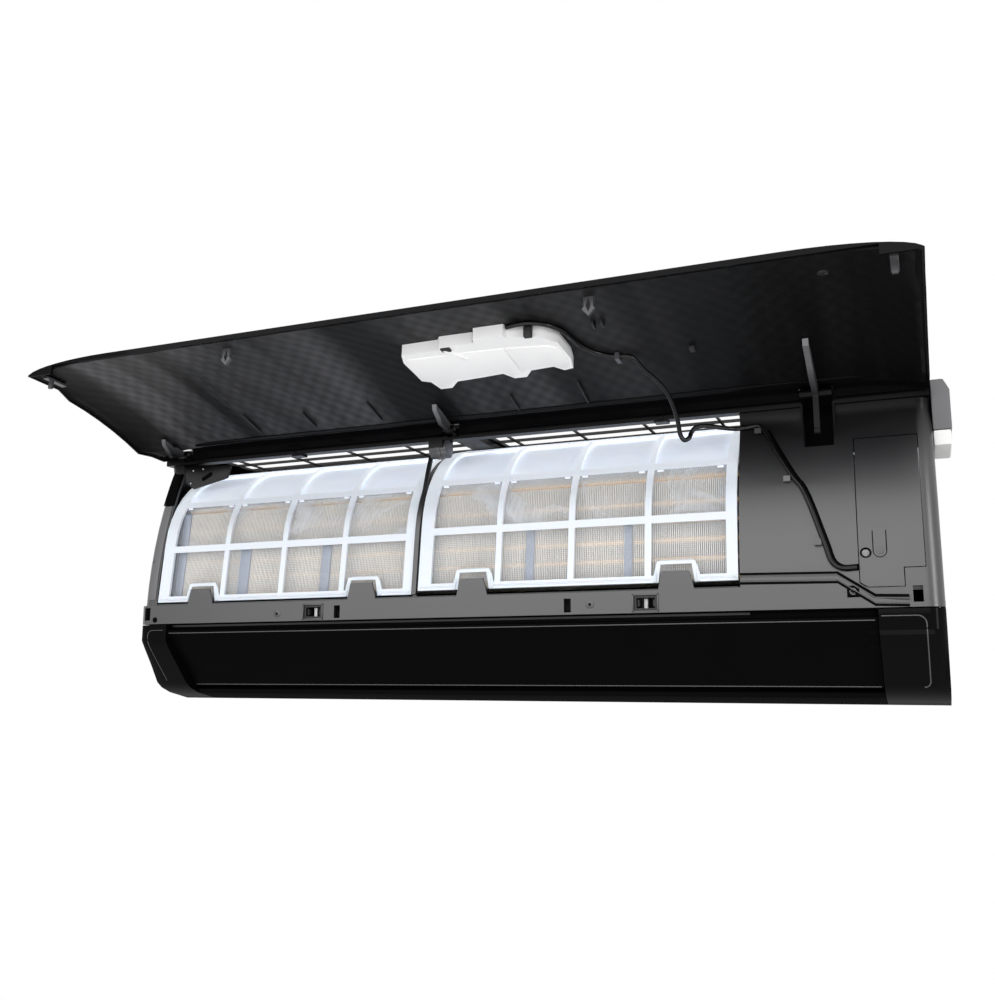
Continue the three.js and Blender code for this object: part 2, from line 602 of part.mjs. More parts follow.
// Surface of the panel 'deep' behind its outer face, which sweeps back to the lip at both ends.
function panelAt(x, z, deep) {
  const u = Math.min(0.995, Math.max(0, (Math.abs(x) - (half - PANEL_END)) / (PANEL_END - deep)));
  const sweep = 1 - Math.sqrt(1 - u * u);
  return panelFront(z) + deep + (panelLip(z) - panelFront(z) - deep) * sweep;
}
function panelSolid(deep, back, top, bottom) {
  const end = half - deep;
  const start = half - PANEL_END;
  const marks = spread(0, 90, 9).map((a) => start + (end - start) * Math.sin(radians(a)));
  const stations = [...marks.map((x) => -x).reverse(), ...marks];
  const levels = [top, ...spread(FACE_TOP_Z + 4, -14, 6), -30, bottom];
  return loftX(stations, (x) => [
    ...levels.map((z) => [panelAt(x, z, deep), z]),
    ...[...levels].reverse().map((z) => [panelLip(z) + back, z]),
  ]);
}
const armNotch = (x, i) => block(
  i === 2 ? [RECESS_X[0] - 2, RECESS_X[1] + 2] : [x - 9.5, x + 9.5], [-179, -150], [PIVOT[1] - 7, 160]);
part('front_panel_skin', cut(
  panelSolid(0, 0.01, PANEL_TOP_Z, PANEL_BOTTOM_Z),
  panelSolid(PANEL_SKIN, 30, PANEL_TOP_Z - PANEL_SKIN, PANEL_BOTTOM_Z + PANEL_SKIN),
  block([-half + 30, half - 30], [PANEL_FRONT + 5, -150], [-80, PANEL_BOTTOM_Z + 4]),
  ...ARM_X.map(armNotch),
), glossBlack, panel);

const carrierDeep = PANEL_SKIN + FIT;
const carrierBack = carrierDeep + CARRIER_THICK;
const CARRIER_BOTTOM_Z = PANEL_BOTTOM_Z + PANEL_SKIN + FIT;
part('front_panel_carrier', cut(
  panelSolid(carrierDeep, -3, CARRIER_TOP_Z, CARRIER_BOTTOM_Z),
  panelSolid(carrierBack, 30, CARRIER_TOP_Z + 5, CARRIER_BOTTOM_Z - 5),
  block([-FAR, FAR], [-FAR, 0], [CARRIER_TOP_Z, FAR]),
), glossBlack, panel);

// Hinge arms: a rib on the carrier, a hub on the pivot line and a pin through both ears.
function hingeArm(x, foot, tail) {
  const out = x + Math.sign(x) * (ARM_THICK / 2);
  const seat = spread(foot, 124, 5).map((z) => [panelAt(out, z, carrierBack) + 3 * FIT, z]);
  const span = [x - ARM_THICK / 2, x + ARM_THICK / 2];
  const [py, pz] = PIVOT;
  const rib = prismX([
    ...seat, [py - 3, pz + 2.4], [py + 3, pz + 1], [py + 3, pz - 3.4],
    [seat[3][0] + 12, seat[3][1]], [seat[2][0] + 9, seat[2][1]], [seat[0][0] + 6, foot + 2],
  ], span);
  const pin = rod('x', PIN_R, [span[0] - EAR_THICK - 1, span[1] + EAR_THICK + 1], PIVOT, 16);
  const body = join(rib, rod('x', EAR_R, span, PIVOT, 20), pin);
  if (!tail) return body;
  const stay = prismX([[py, pz - 3], [py + tail, pz], [py + tail, pz + 6], [py, pz + 3]], [span[0], span[1]]);
  return join(body, stay, rod('x', 3.4, span, [py + tail, pz + 3], 16));
}
part('hinge_arm_left', hingeArm(ARM_X[0], ARM_FOOT_Z[0], 0), darkGrey, panel);
part('hinge_arm_centre', hingeArm(ARM_X[1], ARM_FOOT_Z[1], 0), darkGrey, panel);
part('hinge_arm_right', hingeArm(ARM_X[2], ARM_FOOT_Z[2], TAIL_LENGTH), darkGrey, panel);

for (const [side, x] of [['left', LATCH_X[0]], ['right', LATCH_X[1]]]) {
  const seat = panelAt(x, LATCH_Z, carrierBack) + 2 * FIT;
  const tip = STRIP_FRONT + 7;
  const hook = cut(prismZ([
    [x - 4.5, seat], [x + 4.5, seat], [x + 4, tip - 8], [x + 5.6, tip - 6], [x, tip], [x - 5.6, tip - 6],
    [x - 4, tip - 8],
  ], [LATCH_Z - 1.6, LATCH_Z + 1.6]), prismZ([
    [x - 2.2, tip - 9], [x, seat + 1.5], [x + 2.2, tip - 9], [x, tip - 3.4],
  ], [LATCH_Z - 5, LATCH_Z + 5]));
  part(`latch_hook_${side}`, hook, darkGrey, panel);
}
for (const [side, x] of [['left', END_HOOK_X[0]], ['right', END_HOOK_X[1]]]) {
  const out = x + Math.sign(x) * 3;
  const base = (z) => panelAt(out, z, carrierBack) + FIT;
  const levels = [LATCH_Z - 8, LATCH_Z + 6, LATCH_Z + 18];
  const rail = prismX([
    ...levels.map((z) => [base(z), z]), ...[...levels].reverse().map((z) => [base(z) + 2.4, z]),
  ], [x - 3, x + 3]);
  const finger = block([x - 2.2, x + 2.2], [base(LATCH_Z) + 1, STRIP_FRONT + 6], [LATCH_Z - 1, LATCH_Z + 2]);
  part(`end_hook_${side}`, join(rail, finger), darkGrey, panel);
}

// ---------------------------------------------------------------- display box, board and lead
const displayOutline = [
  [-29, 0], [-24, -14], [12, -15], [16, -20], [50, -20], [52, -27], [80, -27], [82, -22], [110, -16],
  [122, -2], [124, 28], [121, 44], [112, 46], [104, 38], [82, 40], [74, 50], [62, 50], [54, 40], [34, 42],
  [6, 44], [-4, 54], [-16, 54], [-20, 40], [-28, 36],
];
function panelBand(near, far, low, high) {
  const levels = spread(low, high, 5);
  return [
    ...levels.map((z) => [panelFront(z) + near, z]),
    ...[...levels].reverse().map((z) => [panelFront(z) + far, z]),
  ];
}
const displayX = [-40, 140];
const displayNear = carrierBack + FIT;
const shrunk = grow(displayOutline, -2.2);
part('display_box', cut(
  prismX(panelBand(displayNear, displayNear + DISPLAY_DEEP, -40, 60), displayX)
    .intersect(prismY(displayOutline, [-230, -150])),
  prismX(panelBand(displayNear - 1, displayNear + DISPLAY_DEEP - DISPLAY_WALL, -45, 65), displayX)
    .intersect(prismY(shrunk, [-230, -150])),
), white, panel);
const hookAt = [167, 49];
const leadDeep = carrierBack + LEAD_D / 2 + 0.5;
const LEAD_ON_PANEL = [
  [82.6, -24.6], [92, -26.5], [104, -26.5], [117, -20], [127, -6], [131, 10], [135, 24], [144, 38], [155, 46],
  hookAt,
].map(([x, z]) => [x, panelFront(z) + leadDeep, z]);
part('display_lead_panel', leadTube(LEAD_ON_PANEL, 0), mattBlack, panel);
const hookSeat = panelFront(hookAt[1]) + carrierBack + 1.2;
part('cable_hook', cut(
  block([hookAt[0] - 7, hookAt[0] - 3], [hookSeat, hookSeat + LEAD_D + 2], [hookAt[1] - 7, hookAt[1] + 5]),
  leadTube(LEAD_ON_PANEL, 0.8),
), mattBlack, panel);

function shutToOpen([x, y, z]) {
  const at = new THREE.Vector3(x, y - PIVOT[0], z - PIVOT[1]);
  at.applyAxisAngle(new THREE.Vector3(1, 0, 0), radians(-OPEN_ANGLE));
  return [at.x, at.y + PIVOT[0], at.z + PIVOT[1]];
}
const loopStart = shutToOpen([hookAt[0], panelFront(hookAt[1]) + leadDeep, hookAt[1]]);
const loopEnd = faceLead(LEAD_ON_FRAME[0]);
const LEAD_LOOP = [
  [loopStart[0] + 0.4, loopStart[1], loopStart[2]],
  [173, loopStart[1] + 2, loopStart[2] - 1], [181, -239, 153], [188, -228, 147],
  [193.5, -216, 140], [197, -204, 131], [198.6, -192, 121], [198.6, -183, 112], [198.8, -177.5, 105],
  [201.5, -174, 100.5], [205.5, -171.5, 102.5], [207.5, -169.5, 108], [loopEnd[0] - 46, -168.5, 112.5],
  [loopEnd[0] - 39, -168, 114], [loopEnd[0] - 31, -167.5, 113], [loopEnd[0] - 19, -166.5, 110.5],
  [loopEnd[0] - 9, loopEnd[1] - 0.6, 110],
  [loopEnd[0] - 0.4, loopEnd[1], loopEnd[2]],
];
part('display_lead_loop', leadTube(LEAD_LOOP, 0), mattBlack);
part('display_lead_frame', leadTube(LEAD_ON_FRAME.map(faceLead), 0), mattBlack);

// ---------------------------------------------------------------- evaporator
const slabLength = ([[y0, z0], [y1, z1]]) => Math.hypot(y1 - y0, z1 - z0);
// 's' runs along a slab's centre line, 'c' across it towards the fan.
function slabAt(line, s, c) {
  const [[y0, z0], [y1, z1]] = line;
  const [ty, tz] = [(y1 - y0) / slabLength(line), (z1 - z0) / slabLength(line)];
  return [y0 + ty * s + tz * c, z0 + tz * s - ty * c];
}
function slabOutline(line, wide = SLAB_THICK, longer = 0) {
  const [s, c] = [slabLength(line) + longer, wide / 2];
  return [[-longer, -c], [s, -c], [s, c], [-longer, c]].map((p) => slabAt(line, ...p));
}
// The pack's hidden side is hollowed into cells, so that it weighs what stacked fins weigh.
function finPack(line) {
  const [s, c] = [slabLength(line) - FIN_SKIN, SLAB_THICK / 2];
  const section = [[FIN_SKIN, FIN_SKIN - c], [s, FIN_SKIN - c], [s, c + 1], [FIN_SKIN, c + 1]];
  const pitch = (SLAB_X[1] - SLAB_X[0] - FIN_RIB) / FIN_CELLS;
  const cells = spread(SLAB_X[0] + FIN_RIB, SLAB_X[1] - pitch, FIN_CELLS - 1).map((x) =>
    prismX(section.map((p) => slabAt(line, ...p)), [x, x + pitch - FIN_RIB]));
  return cut(prismX(slabOutline(line), SLAB_X), ...cells);
}
for (const [name, line] of Object.entries(SLABS)) part(name, finPack(line), fins);

function returnBend(line, at, x) {
  const from = slabAt(line, at * slabLength(line), -SLAB_THICK / 4);
  const to = slabAt(line, at * slabLength(line), SLAB_THICK / 4);
  const mid = [(from[0] + to[0]) / 2, (from[1] + to[1]) / 2];
  return tube([
    [x, ...from], [x - BEND_REACH * 0.6, ...from], [x - BEND_REACH, ...mid],
    [x - BEND_REACH * 0.6, ...to], [x, ...to],
  ], TUBE_R * 2, 6, 6);
}
function endPlate(side) {
  const start = side < 0 ? SLAB_X[0] - FIT - END_PLATE : SLAB_X[1] + FIT;
  const x = [start, start + END_PLATE];
  const plates = Object.values(SLABS).map((line) => prismX(slabOutline(line, SLAB_THICK + 1, 0.5), x));
  const [lower, upper, rear] = Object.values(SLABS);
  const links = [
    [lower[1], upper[0]], [upper[1], rear[0]],
  ].map((line) => prismX(slabOutline(line, 12, 6), x));
  if (side > 0) return join(...plates, ...links);
  const bends = Object.values(SLABS).flatMap((line) => [0.18, 0.5, 0.82].map((at) =>
    returnBend(line, at, x[0] + 0.2)));
  return join(...plates, ...links, ...bends);
}
part('evaporator_end_left', endPlate(-1), copper);
part('evaporator_end_right', endPlate(1), copper);

function linePipe(points, radius, steps) {
  const [a, b] = points.slice(-2);
  const nut = rod('x', radius + 3, [a[0] - 4, b[0]], [b[1], b[2]], 6);
  return join(tube(points, radius * 2, 8, steps), nut);
}
part('suction_pipe', linePipe([
  [FILTERS_END + 2.5, -52, 76], [FILTERS_END + 14.5, -52, 76], [FILTERS_END + 23.5, -50, 70],
  [FILTERS_END + 24.5, -30, 20], [FILTERS_END + 24.5, -26, -60], [FILTERS_END + 30.5, -26, -96],
  [FILTERS_END + 46.5, -26, -104], [half - 77.5, -26, -104], [half - 45.5, -26, -104], [half - 25.5, -26, -104],
], 6.35, 20), copper);
part('liquid_pipe', linePipe([
  [FILTERS_END + 2.5, -160, -20], [FILTERS_END + 14.5, -160, -20], [FILTERS_END + 20.5, -157, -26],
  [FILTERS_END + 21.5, -142, -60], [FILTERS_END + 21.5, -116, -92], [FILTERS_END + 24.5, -74, -114],
  [FILTERS_END + 36.5, -54, -118], [FILTERS_END + 56.5, -52, -118], [half - 77.5, -52, -118],
  [half - 51.5, -52, -118], [half - 37.5, -52, -118],
], 3.2, 20), copper);

// ---------------------------------------------------------------- cross-flow fan
const [fanY, fanZ] = FAN;
const blade = (turn) => {
  const point = (r, angle) => [
    fanY + r * Math.cos(radians(angle + turn)), fanZ + r * Math.sin(radians(angle + turn))];
  return prismX([
    point(FAN_R - 0.5, 0), point(FAN_R - 5, 5), point(FAN_R - 10.5, 4.5), point(FAN_R - 5, 2.6),
  ], FAN_X);
};
const fanDiscs = spread(FAN_X[0], FAN_X[1] - 2, FAN_DISCS - 1).map((x, i) => {
  const disc = rod('x', FAN_R, [x, x + 2], FAN, 24);
  return i % (FAN_DISCS - 1) === 0 ? disc : cut(disc, rod('x', FAN_R - 14, [x - 1, x + 3], FAN, 16));
});
part('cross_flow_fan', join(
  ...fanDiscs,
  ...Array.from({ length: FAN_BLADES }, (_, i) => blade((i * 360) / FAN_BLADES)),
  rod('x', SHAFT_R, [FAN_X[0] - 22, FAN_X[0] + 1], FAN, 12),
  rod('x', SHAFT_R, [FAN_X[1] - 1, FAN_X[1] + 30], FAN, 12),
), mattBlack);

const ring = (outer, inner, x, sides = 20) => cut(
  rod('x', outer, x, FAN, sides), rod('x', inner, [x[0] - 1, x[1] + 1], FAN, sides));
const BEARING_X = [DUCT_X[0], DUCT_X[0] + 8];
part('fan_bearing', ring(BEARING_R, SHAFT_R + FIT, BEARING_X, 16), rubber);
const MOTOR_X = [DUCT_X[1] + 8, DUCT_X[1] + 64];
const MOTOR_SEAT_X = [DUCT_X[1] + 26, DUCT_X[1] + 46];
part('fan_motor', cut(join(
  rod('x', MOTOR_R, MOTOR_X, FAN, 24), rod('x', 12, [MOTOR_X[0] - 3, MOTOR_X[1] + 3], FAN, 16),
), rod('x', SHAFT_R + FIT, [0, FAN_X[1] + 31], FAN, 12)), steel);

// ---------------------------------------------------------------- vertical vanes
// 'a' runs along the air's way out, 'b' stands up from the duct's floor.
const flow = [-0.753, -0.658];
const ductPoint = (a, b) => [
  VANE_ORIGIN[0] + flow[0] * a + flow[1] * b, VANE_ORIGIN[1] + flow[1] * a - flow[0] * b];
const VANE_PIN_R = 1.5;
function ductRod(x, radius, from, to, sides = 8) {
  const geometry = new THREE.CylinderGeometry(radius, radius, to - from, sides);
  geometry.rotateX(Math.PI / 2).translate(0, 0, (from + to) / 2);
  geometry.rotateX(Math.atan2(-flow[1], -flow[0]));
  return toSolid(geometry.translate(x, ...ductPoint(0, 0)));
}
const vaneX = spread(DUCT_X[0] + 66, DUCT_X[1] - 40, VANES - 1);
const RAIL = [0, 6];
const vaneOutline = [
  ductPoint(-18, RAIL[1] + FIT), ductPoint(12, RAIL[1] + FIT), ductPoint(13, 43), ductPoint(-1, 43),
  ductPoint(-18, 28), ductPoint(-23, 28), ductPoint(-23, 26), ductPoint(-18.6, 26), ductPoint(-18.6, 22),
  ductPoint(-23, 22), ductPoint(-23, 20), ductPoint(-18, 20),
];
const vaneRail = cut(
  prismX([ductPoint(-6, RAIL[0]), ductPoint(6, RAIL[0]), ductPoint(6, RAIL[1]), ductPoint(-6, RAIL[1])],
    [DUCT_X[0], DUCT_X[1]]),
  ...vaneX.map((x) => ductRod(x, VANE_PIN_R + FIT, 2.2, 10)),
);
vaneX.forEach((x, i) => part(`vane_${i + 1}`, join(
  prismX(vaneOutline, [x - VANE_THICK / 2, x + VANE_THICK / 2]),
  ductRod(x, VANE_PIN_R, 2.6, RAIL[1] + 2),
), mattBlack));
part('vane_link', prismX([
  ductPoint(-21.6, 23), ductPoint(-19.8, 23), ductPoint(-19.8, 25), ductPoint(-21.6, 25),
], [vaneX[0] - 14, vaneX[VANES - 1] + 14]), mattBlack);

// ---------------------------------------------------------------- rear casing, drain pan, bottom
const scroll = [
  [-5, 36], [-10, 24], [-24, 18], [-40, 20],
  ...arc(FAN, SCROLL_R, 34, -48, 9),
  [-133, -124],
];
const CASING_BACK = [-5, -WALL];
const casingRib = (x) => prismX([
  [-4, 30], [-4, -141.5], [-104, -141.5], [-129, -126], ...[...scroll].reverse().slice(1, -3), [-24, 20],
], [x, x + WALL]);
const sidePlate = (x) => cut(prismX([
  [-4, 138], [-4, -141.5], [-100, -141.5], [-114, -134], [-121, -118], [-122, -98], [-141.4, -74],
  [-141.4, 96], [-120, 112], [-60, 126],
], x), rod('x', BEARING_R + FIT, [x[0] - 9, x[1] + 9], FAN, 16));
const bearingSeat = ring(BEARING_R + 4, BEARING_R + FIT, [DUCT_X[0] - WALL, BEARING_X[1]]);
const motorSeat = join(
  ring(MOTOR_R + 3, MOTOR_R + FIT, MOTOR_SEAT_X, 24),
  block(MOTOR_SEAT_X, [fanY + MOTOR_R + 1, -4], [fanZ - 14, fanZ + 14]),
);
const hookZ = PLATE_HEIGHT / 2 - 13;
const hookSlots = PLATE_HOOK_X.map((x) =>
  block([x - HOOK_WIDTH / 2 - 4, x + HOOK_WIDTH / 2 + 4], [-8, 0], [hookZ - 6, hookZ + 10]));
const pipeWindow = block([half - 117.5, half - 21.5], [-8, 0], [-132, -84]);
const suctionGap = rod('x', 7.4, [DUCT_X[1] - 8, DUCT_X[1] + 6], [-52, 76], 12);
const casingRibs = spread(DUCT_X[0] + 146, DUCT_X[1] - 128, 2).map(casingRib);
part('rear_casing', cut(join(
  block([-half + WALL + FIT, half - WALL - FIT], CASING_BACK, [-141.5, TOP_Z - WALL - FIT]),
  prismX(ribbon(scroll, WALL).map(([y, z]) => [Math.min(y, -4), z]), DUCT_X),
  sidePlate([DUCT_X[0] - WALL, DUCT_X[0] + 0.5]),
  sidePlate([DUCT_X[1] - 0.5, DUCT_X[1] + WALL]),
  ...casingRibs, bearingSeat, motorSeat, vaneRail,
), ...hookSlots, pipeWindow, suctionGap), mattBlack);

part('drain_pan', join(
  prismX(ribbon([[-144.5, -36], [-147, -58], [-175, -56], [-178, -43]], 2.2), DUCT_X),
  prismX([[-147, -57], [-175, -56.5], [-180, -62], [-188, -63.4], [-188, -65.4], [-176, -63.4], [-148, -60]],
    [LOUVRE_X[0] + FIT, DUCT_X[1]]),
  block([DUCT_X[0] - 2, DUCT_X[0] + 0.2], [-178, -147], [-59, -44]),
  block([DUCT_X[1] - 0.2, DUCT_X[1] + 2], [-178, -147], [-59, -44]),
), foamWhite);

part('bottom_cover', prismX(ribbon([
  [-3, BOTTOM_Z], [-104, BOTTOM_Z], [-133, -138], [-138, -133.5],
].reverse(), 2.2), [LOUVRE_X[0] - 0.4, LOUVRE_X[1] + 0.4]), satinBlack);

// ---------------------------------------------------------------- end covers beside the louvre
function endCover(x) {
  const inset = (points) => points.map(([y, z], i) => {
    const roof = STRIP_BOTTOM_Z - SLIP - WALL;
    if (i >= points.length - 2) return [10, i === points.length - 2 ? z + WALL : roof];
    const up = i === 0 ? roof : z + (i > 2 ? WALL : 0);
    return [y + WALL + (i > 2 && i < 5 ? 0.6 : 0), i === 6 ? z + WALL : up];
  });
  const outer = loftX(cornerStations(...x), (at) => louvreEndOutline(cornerDrop(at)));
  const side = x[0] < 0 ? [x[0] + WALL, x[1] + 1] : [x[0] - 1, x[1] - WALL];
  const inner = loftX(
    cornerStations(...side, CORNER_R - WALL, half - WALL),
    (at) => inset(louvreEndOutline(cornerDrop(at, CORNER_R - WALL, half - WALL))),
  );
  const wallX = x[0] < 0 ? [x[1] - 2, x[1]] : [x[0], x[0] + 2];
  const wall = loftX(wallX, () => louvreEndOutline(0)).subtract(block([-FAR, FAR], [-141, 10], [-200, 0]));
  return cut(join(cut(outer, inner), wall), block([-half + WALL, half - WALL], [-144, 10], [-70, -60]));
}
const louvreSize = Math.hypot(LOUVRE_BOTTOM[0] - LOUVRE_TOP[0], LOUVRE_BOTTOM[1] - LOUVRE_TOP[1]);
const along = [0, 1].map((k) => (LOUVRE_BOTTOM[k] - LOUVRE_TOP[k]) / louvreSize);
const inward = [-along[1], along[0]];
const louvrePoint = (a, b) => [
  LOUVRE_TOP[0] + along[0] * a + inward[0] * b, LOUVRE_TOP[1] + along[1] * a + inward[1] * b];
const louvrePivot = louvrePoint(LOUVRE_PIVOT_ALONG, LOUVRE_PIVOT_BEHIND);
const END_COVER_GAP = 1;
for (const [side, x] of [
  ['left', [-half, LOUVRE_X[0] - END_COVER_GAP]], ['right', [LOUVRE_X[1] + END_COVER_GAP, half]],
]) {
  const hole = rod('x', LOUVRE_PIN_R + FIT, [side === 'left' ? x[1] - 3 : x[0] - 1,
    side === 'left' ? x[1] + 1 : x[0] + 3], louvrePivot, 12);
  part(`end_cover_${side}`, cut(endCover(x), hole), glossBlack);
}

// ---------------------------------------------------------------- louvre
const louvreLug = (x) => prismX([
  louvrePoint(LOUVRE_PIVOT_ALONG - 10, LOUVRE_THICK - 1), louvrePoint(LOUVRE_PIVOT_ALONG + 10, LOUVRE_THICK - 1),
  louvrePoint(LOUVRE_PIVOT_ALONG + 5, LOUVRE_PIVOT_BEHIND + 4),
  louvrePoint(LOUVRE_PIVOT_ALONG - 5, LOUVRE_PIVOT_BEHIND + 4),
], x);
part('louvre', join(
  prismX([
    louvrePoint(0, 1), louvrePoint(1.5, 0), louvrePoint(louvreSize - 1.5, 0), louvrePoint(louvreSize, 1),
    louvrePoint(louvreSize, 2.4), louvrePoint(louvreSize * 0.7, LOUVRE_THICK),
    louvrePoint(louvreSize * 0.3, LOUVRE_THICK), louvrePoint(0, 2.4),
  ], LOUVRE_X),
  louvreLug([LOUVRE_X[0], LOUVRE_X[0] + 3]), louvreLug([LOUVRE_X[1] - 3, LOUVRE_X[1]]),
  rod('x', LOUVRE_PIN_R, [LOUVRE_X[0] - 6, LOUVRE_X[0] + 1], louvrePivot, 12),
  rod('x', LOUVRE_PIN_R, [LOUVRE_X[1] - 1, LOUVRE_X[1] + 9], louvrePivot, 12),
), glossBlack);
part('louvre_motor', cut(
  rod('x', 12, [LOUVRE_X[1] + END_COVER_GAP + 2 + FIT, LOUVRE_X[1] + 22], louvrePivot, 12),
  rod('x', LOUVRE_PIN_R + FIT, [LOUVRE_X[1], LOUVRE_X[1] + 10], louvrePivot, 12),
), steel);

// ---------------------------------------------------------------- control box
const tubFront = faceY(TUB_Z[1]) + WALL + 2;
const TUB_Y = [tubFront, tubFront + TUB_DEPTH];
part('control_box', cut(
  block(TUB_X, TUB_Y, TUB_Z),
  block([TUB_X[0] + 2, TUB_X[1] - 2], [TUB_Y[0] - 1, TUB_Y[1] - 2], [TUB_Z[0] + 2, TUB_Z[1] - 2]),
), mattBlack);
part('control_board', block(
  [TUB_X[0] + 6, TUB_X[1] - 6], [TUB_Y[1] - 9, TUB_Y[1] - 7.4], [TUB_Z[0] + 8, TUB_Z[1] - 8]), boardGreen);

// ---------------------------------------------------------------- pipe cover at the right side
part('side_pipe_cover', cut(
  prismY([[half + FIT, 96], [half + 16, 96], [half + 16, 132], [half + 11, 142], [half + FIT, 142]], SIDE_Y),
  block([half - 1, half + 13], [SIDE_Y[0] + 3, SIDE_Y[1] - 3], [90, 130]),
), darkGrey);
part('side_pipe_seal', block([half + FIT, half + 15], SIDE_Y, [82, 96 - FIT]), lightGrey);

// ---------------------------------------------------------------- mounting plate
const plateHoles = [
  ...[-1, 1].flatMap((side) => spread(40 - PLATE_WIDTH / 2, PLATE_WIDTH / 2 - 40, 4).map((x) =>
    rod('y', 3, [-4, 1], [x, side * (PLATE_HEIGHT / 2 - 25)], 8))),
  ...[80, 170].flatMap((inFrom) => [inFrom - PLATE_WIDTH / 2, PLATE_WIDTH / 2 - inFrom]).map((x) =>
    block([x - 18, x + 18], [-4, 1], [57 - PLATE_HEIGHT / 2, PLATE_HEIGHT / 2 - 57])),
];
const plateHook = (x) => join(
  block([x - HOOK_WIDTH / 2, x + HOOK_WIDTH / 2], [-7.5, -0.5], [hookZ, hookZ + 1.5]),
  block([x - HOOK_WIDTH / 2, x + HOOK_WIDTH / 2], [-7.5, -6], [hookZ, hookZ + 7]));
part('mounting_plate', join(
  cut(block([-PLATE_WIDTH / 2, PLATE_WIDTH / 2], [-PLATE_THICK, 0], [-PLATE_HEIGHT / 2, PLATE_HEIGHT / 2]),
    ...plateHoles),
  ...PLATE_HOOK_X.map(plateHook),
), steel);

export default root;
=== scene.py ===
# %% [markdown]
# # A mini split indoor unit with its front panel up
# It is seen from below: two white filters over the finned heat exchanger, the display box hanging in the
# raised panel, and its lead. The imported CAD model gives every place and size.

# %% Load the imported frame
import json
import math

import bpy
from mathutils import Matrix, Vector, noise

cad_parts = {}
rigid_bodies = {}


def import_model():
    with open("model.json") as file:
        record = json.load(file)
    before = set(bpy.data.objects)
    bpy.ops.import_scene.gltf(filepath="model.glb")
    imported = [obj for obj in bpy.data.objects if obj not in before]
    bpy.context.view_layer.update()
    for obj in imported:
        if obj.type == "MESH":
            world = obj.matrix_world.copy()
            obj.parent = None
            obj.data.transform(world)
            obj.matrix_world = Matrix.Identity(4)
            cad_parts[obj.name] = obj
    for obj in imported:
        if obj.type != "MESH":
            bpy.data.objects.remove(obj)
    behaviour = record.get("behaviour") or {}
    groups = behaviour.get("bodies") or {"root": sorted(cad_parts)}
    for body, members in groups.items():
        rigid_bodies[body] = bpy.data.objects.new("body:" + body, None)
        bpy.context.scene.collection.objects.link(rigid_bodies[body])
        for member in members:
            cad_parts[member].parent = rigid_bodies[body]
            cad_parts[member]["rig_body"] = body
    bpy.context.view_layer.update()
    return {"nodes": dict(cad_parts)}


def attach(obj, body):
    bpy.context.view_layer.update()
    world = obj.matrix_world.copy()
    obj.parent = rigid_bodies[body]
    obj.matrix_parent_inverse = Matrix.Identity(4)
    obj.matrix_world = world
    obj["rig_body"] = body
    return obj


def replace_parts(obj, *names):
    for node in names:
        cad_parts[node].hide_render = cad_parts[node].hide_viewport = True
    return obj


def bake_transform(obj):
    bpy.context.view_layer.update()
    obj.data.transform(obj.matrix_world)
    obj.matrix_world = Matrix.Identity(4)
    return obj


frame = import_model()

# %% [markdown]
# Sizes are in millimetres and Blender is in metres, so one helper turns a point over. The plate's middle
# on the wall is the origin, the front faces -Y, and Z is up.

# %% Millimetres, selections and modifiers
MM = 0.001


def mm(point):
    return Vector(point) * MM


def select_only(*objects):
    """Everything else is deselected first, because an operator acts on all that is selected."""
    bpy.ops.object.select_all(action="DESELECT")
    for piece in objects:
        piece.select_set(True)
    if objects:
        bpy.context.view_layer.objects.active = objects[0]


def new_object(name, data):
    added = bpy.data.objects.new(name, data)
    bpy.context.collection.objects.link(added)
    return added


def modify(piece, kind, **settings):
    """Adds a modifier with its settings and applies it."""
    select_only(piece)
    modifier = piece.modifiers.new(kind, kind)
    for name, value in settings.items():
        setattr(modifier, name, value)
    bpy.ops.object.modifier_apply(modifier=kind)


print("one millimetre is", MM, "m")

# %% [markdown]
# ## The camera
# The photograph was taken from below on the right. The two filters have straight bars at even spacing, so
# lines fitted through them gave the lens and the place of the camera.

# %% Camera
CAMERA_PLACE, CAMERA_PITCH, CAMERA_TURN = (402.5, -1120.6, -117.3), 0.16715, 0.39214
camera_data = bpy.data.cameras.new("photo_camera")
camera_data.lens, camera_data.sensor_width = 37.22, 36.0
camera = new_object("photo_camera", camera_data)
camera.location = mm(CAMERA_PLACE)
camera.rotation_euler = (math.pi / 2 + CAMERA_PITCH, 0.0, CAMERA_TURN)
bpy.context.scene.camera = camera
print("camera", camera.data.lens, "mm")

# %% [markdown]
# ## Small tools for materials
# Colours are written as hex values, as a screen shows them, and one function turns them linear. One more
# adds a node. Its sockets are a dict, or a list in the node's own order, which for Map Range is the value,
# its range before and its range after. Each holds a value, or the output that is linked to it.

# %% Colours and nodes
def linear(code):
    def channel(pair):
        value = int(pair, 16) / 255
        return value / 12.92 if value <= 0.04045 else ((value + 0.055) / 1.055) ** 2.4

    return (*[channel(code[i : i + 2]) for i in (1, 3, 5)], 1.0)


def add_node(tree, kind, sockets=(), output=None, **settings):
    """Gives the output that is named, or the node itself."""
    node = tree.nodes.new("ShaderNode" + kind)
    for name, value in settings.items():
        setattr(node, name, value)
    for name, value in sockets.items() if isinstance(sockets, dict) else enumerate(sockets):
        if isinstance(value, bpy.types.NodeSocket):
            tree.links.new(value, node.inputs[name])
        else:
            node.inputs[name].default_value = value
    return node if output is None else node.outputs[output]


def start_material(name, shader):
    """Gives the node tree, the shader with its constant values set, and the Object coordinates."""
    material = bpy.data.materials.new(name)
    material.use_nodes = True
    tree = material.node_tree
    surface = tree.nodes["Principled BSDF"]
    for socket, value in shader.items():
        surface.inputs[socket].default_value = value
    where = add_node(tree, "TexCoord", output="Object")
    return material, tree, surface, where


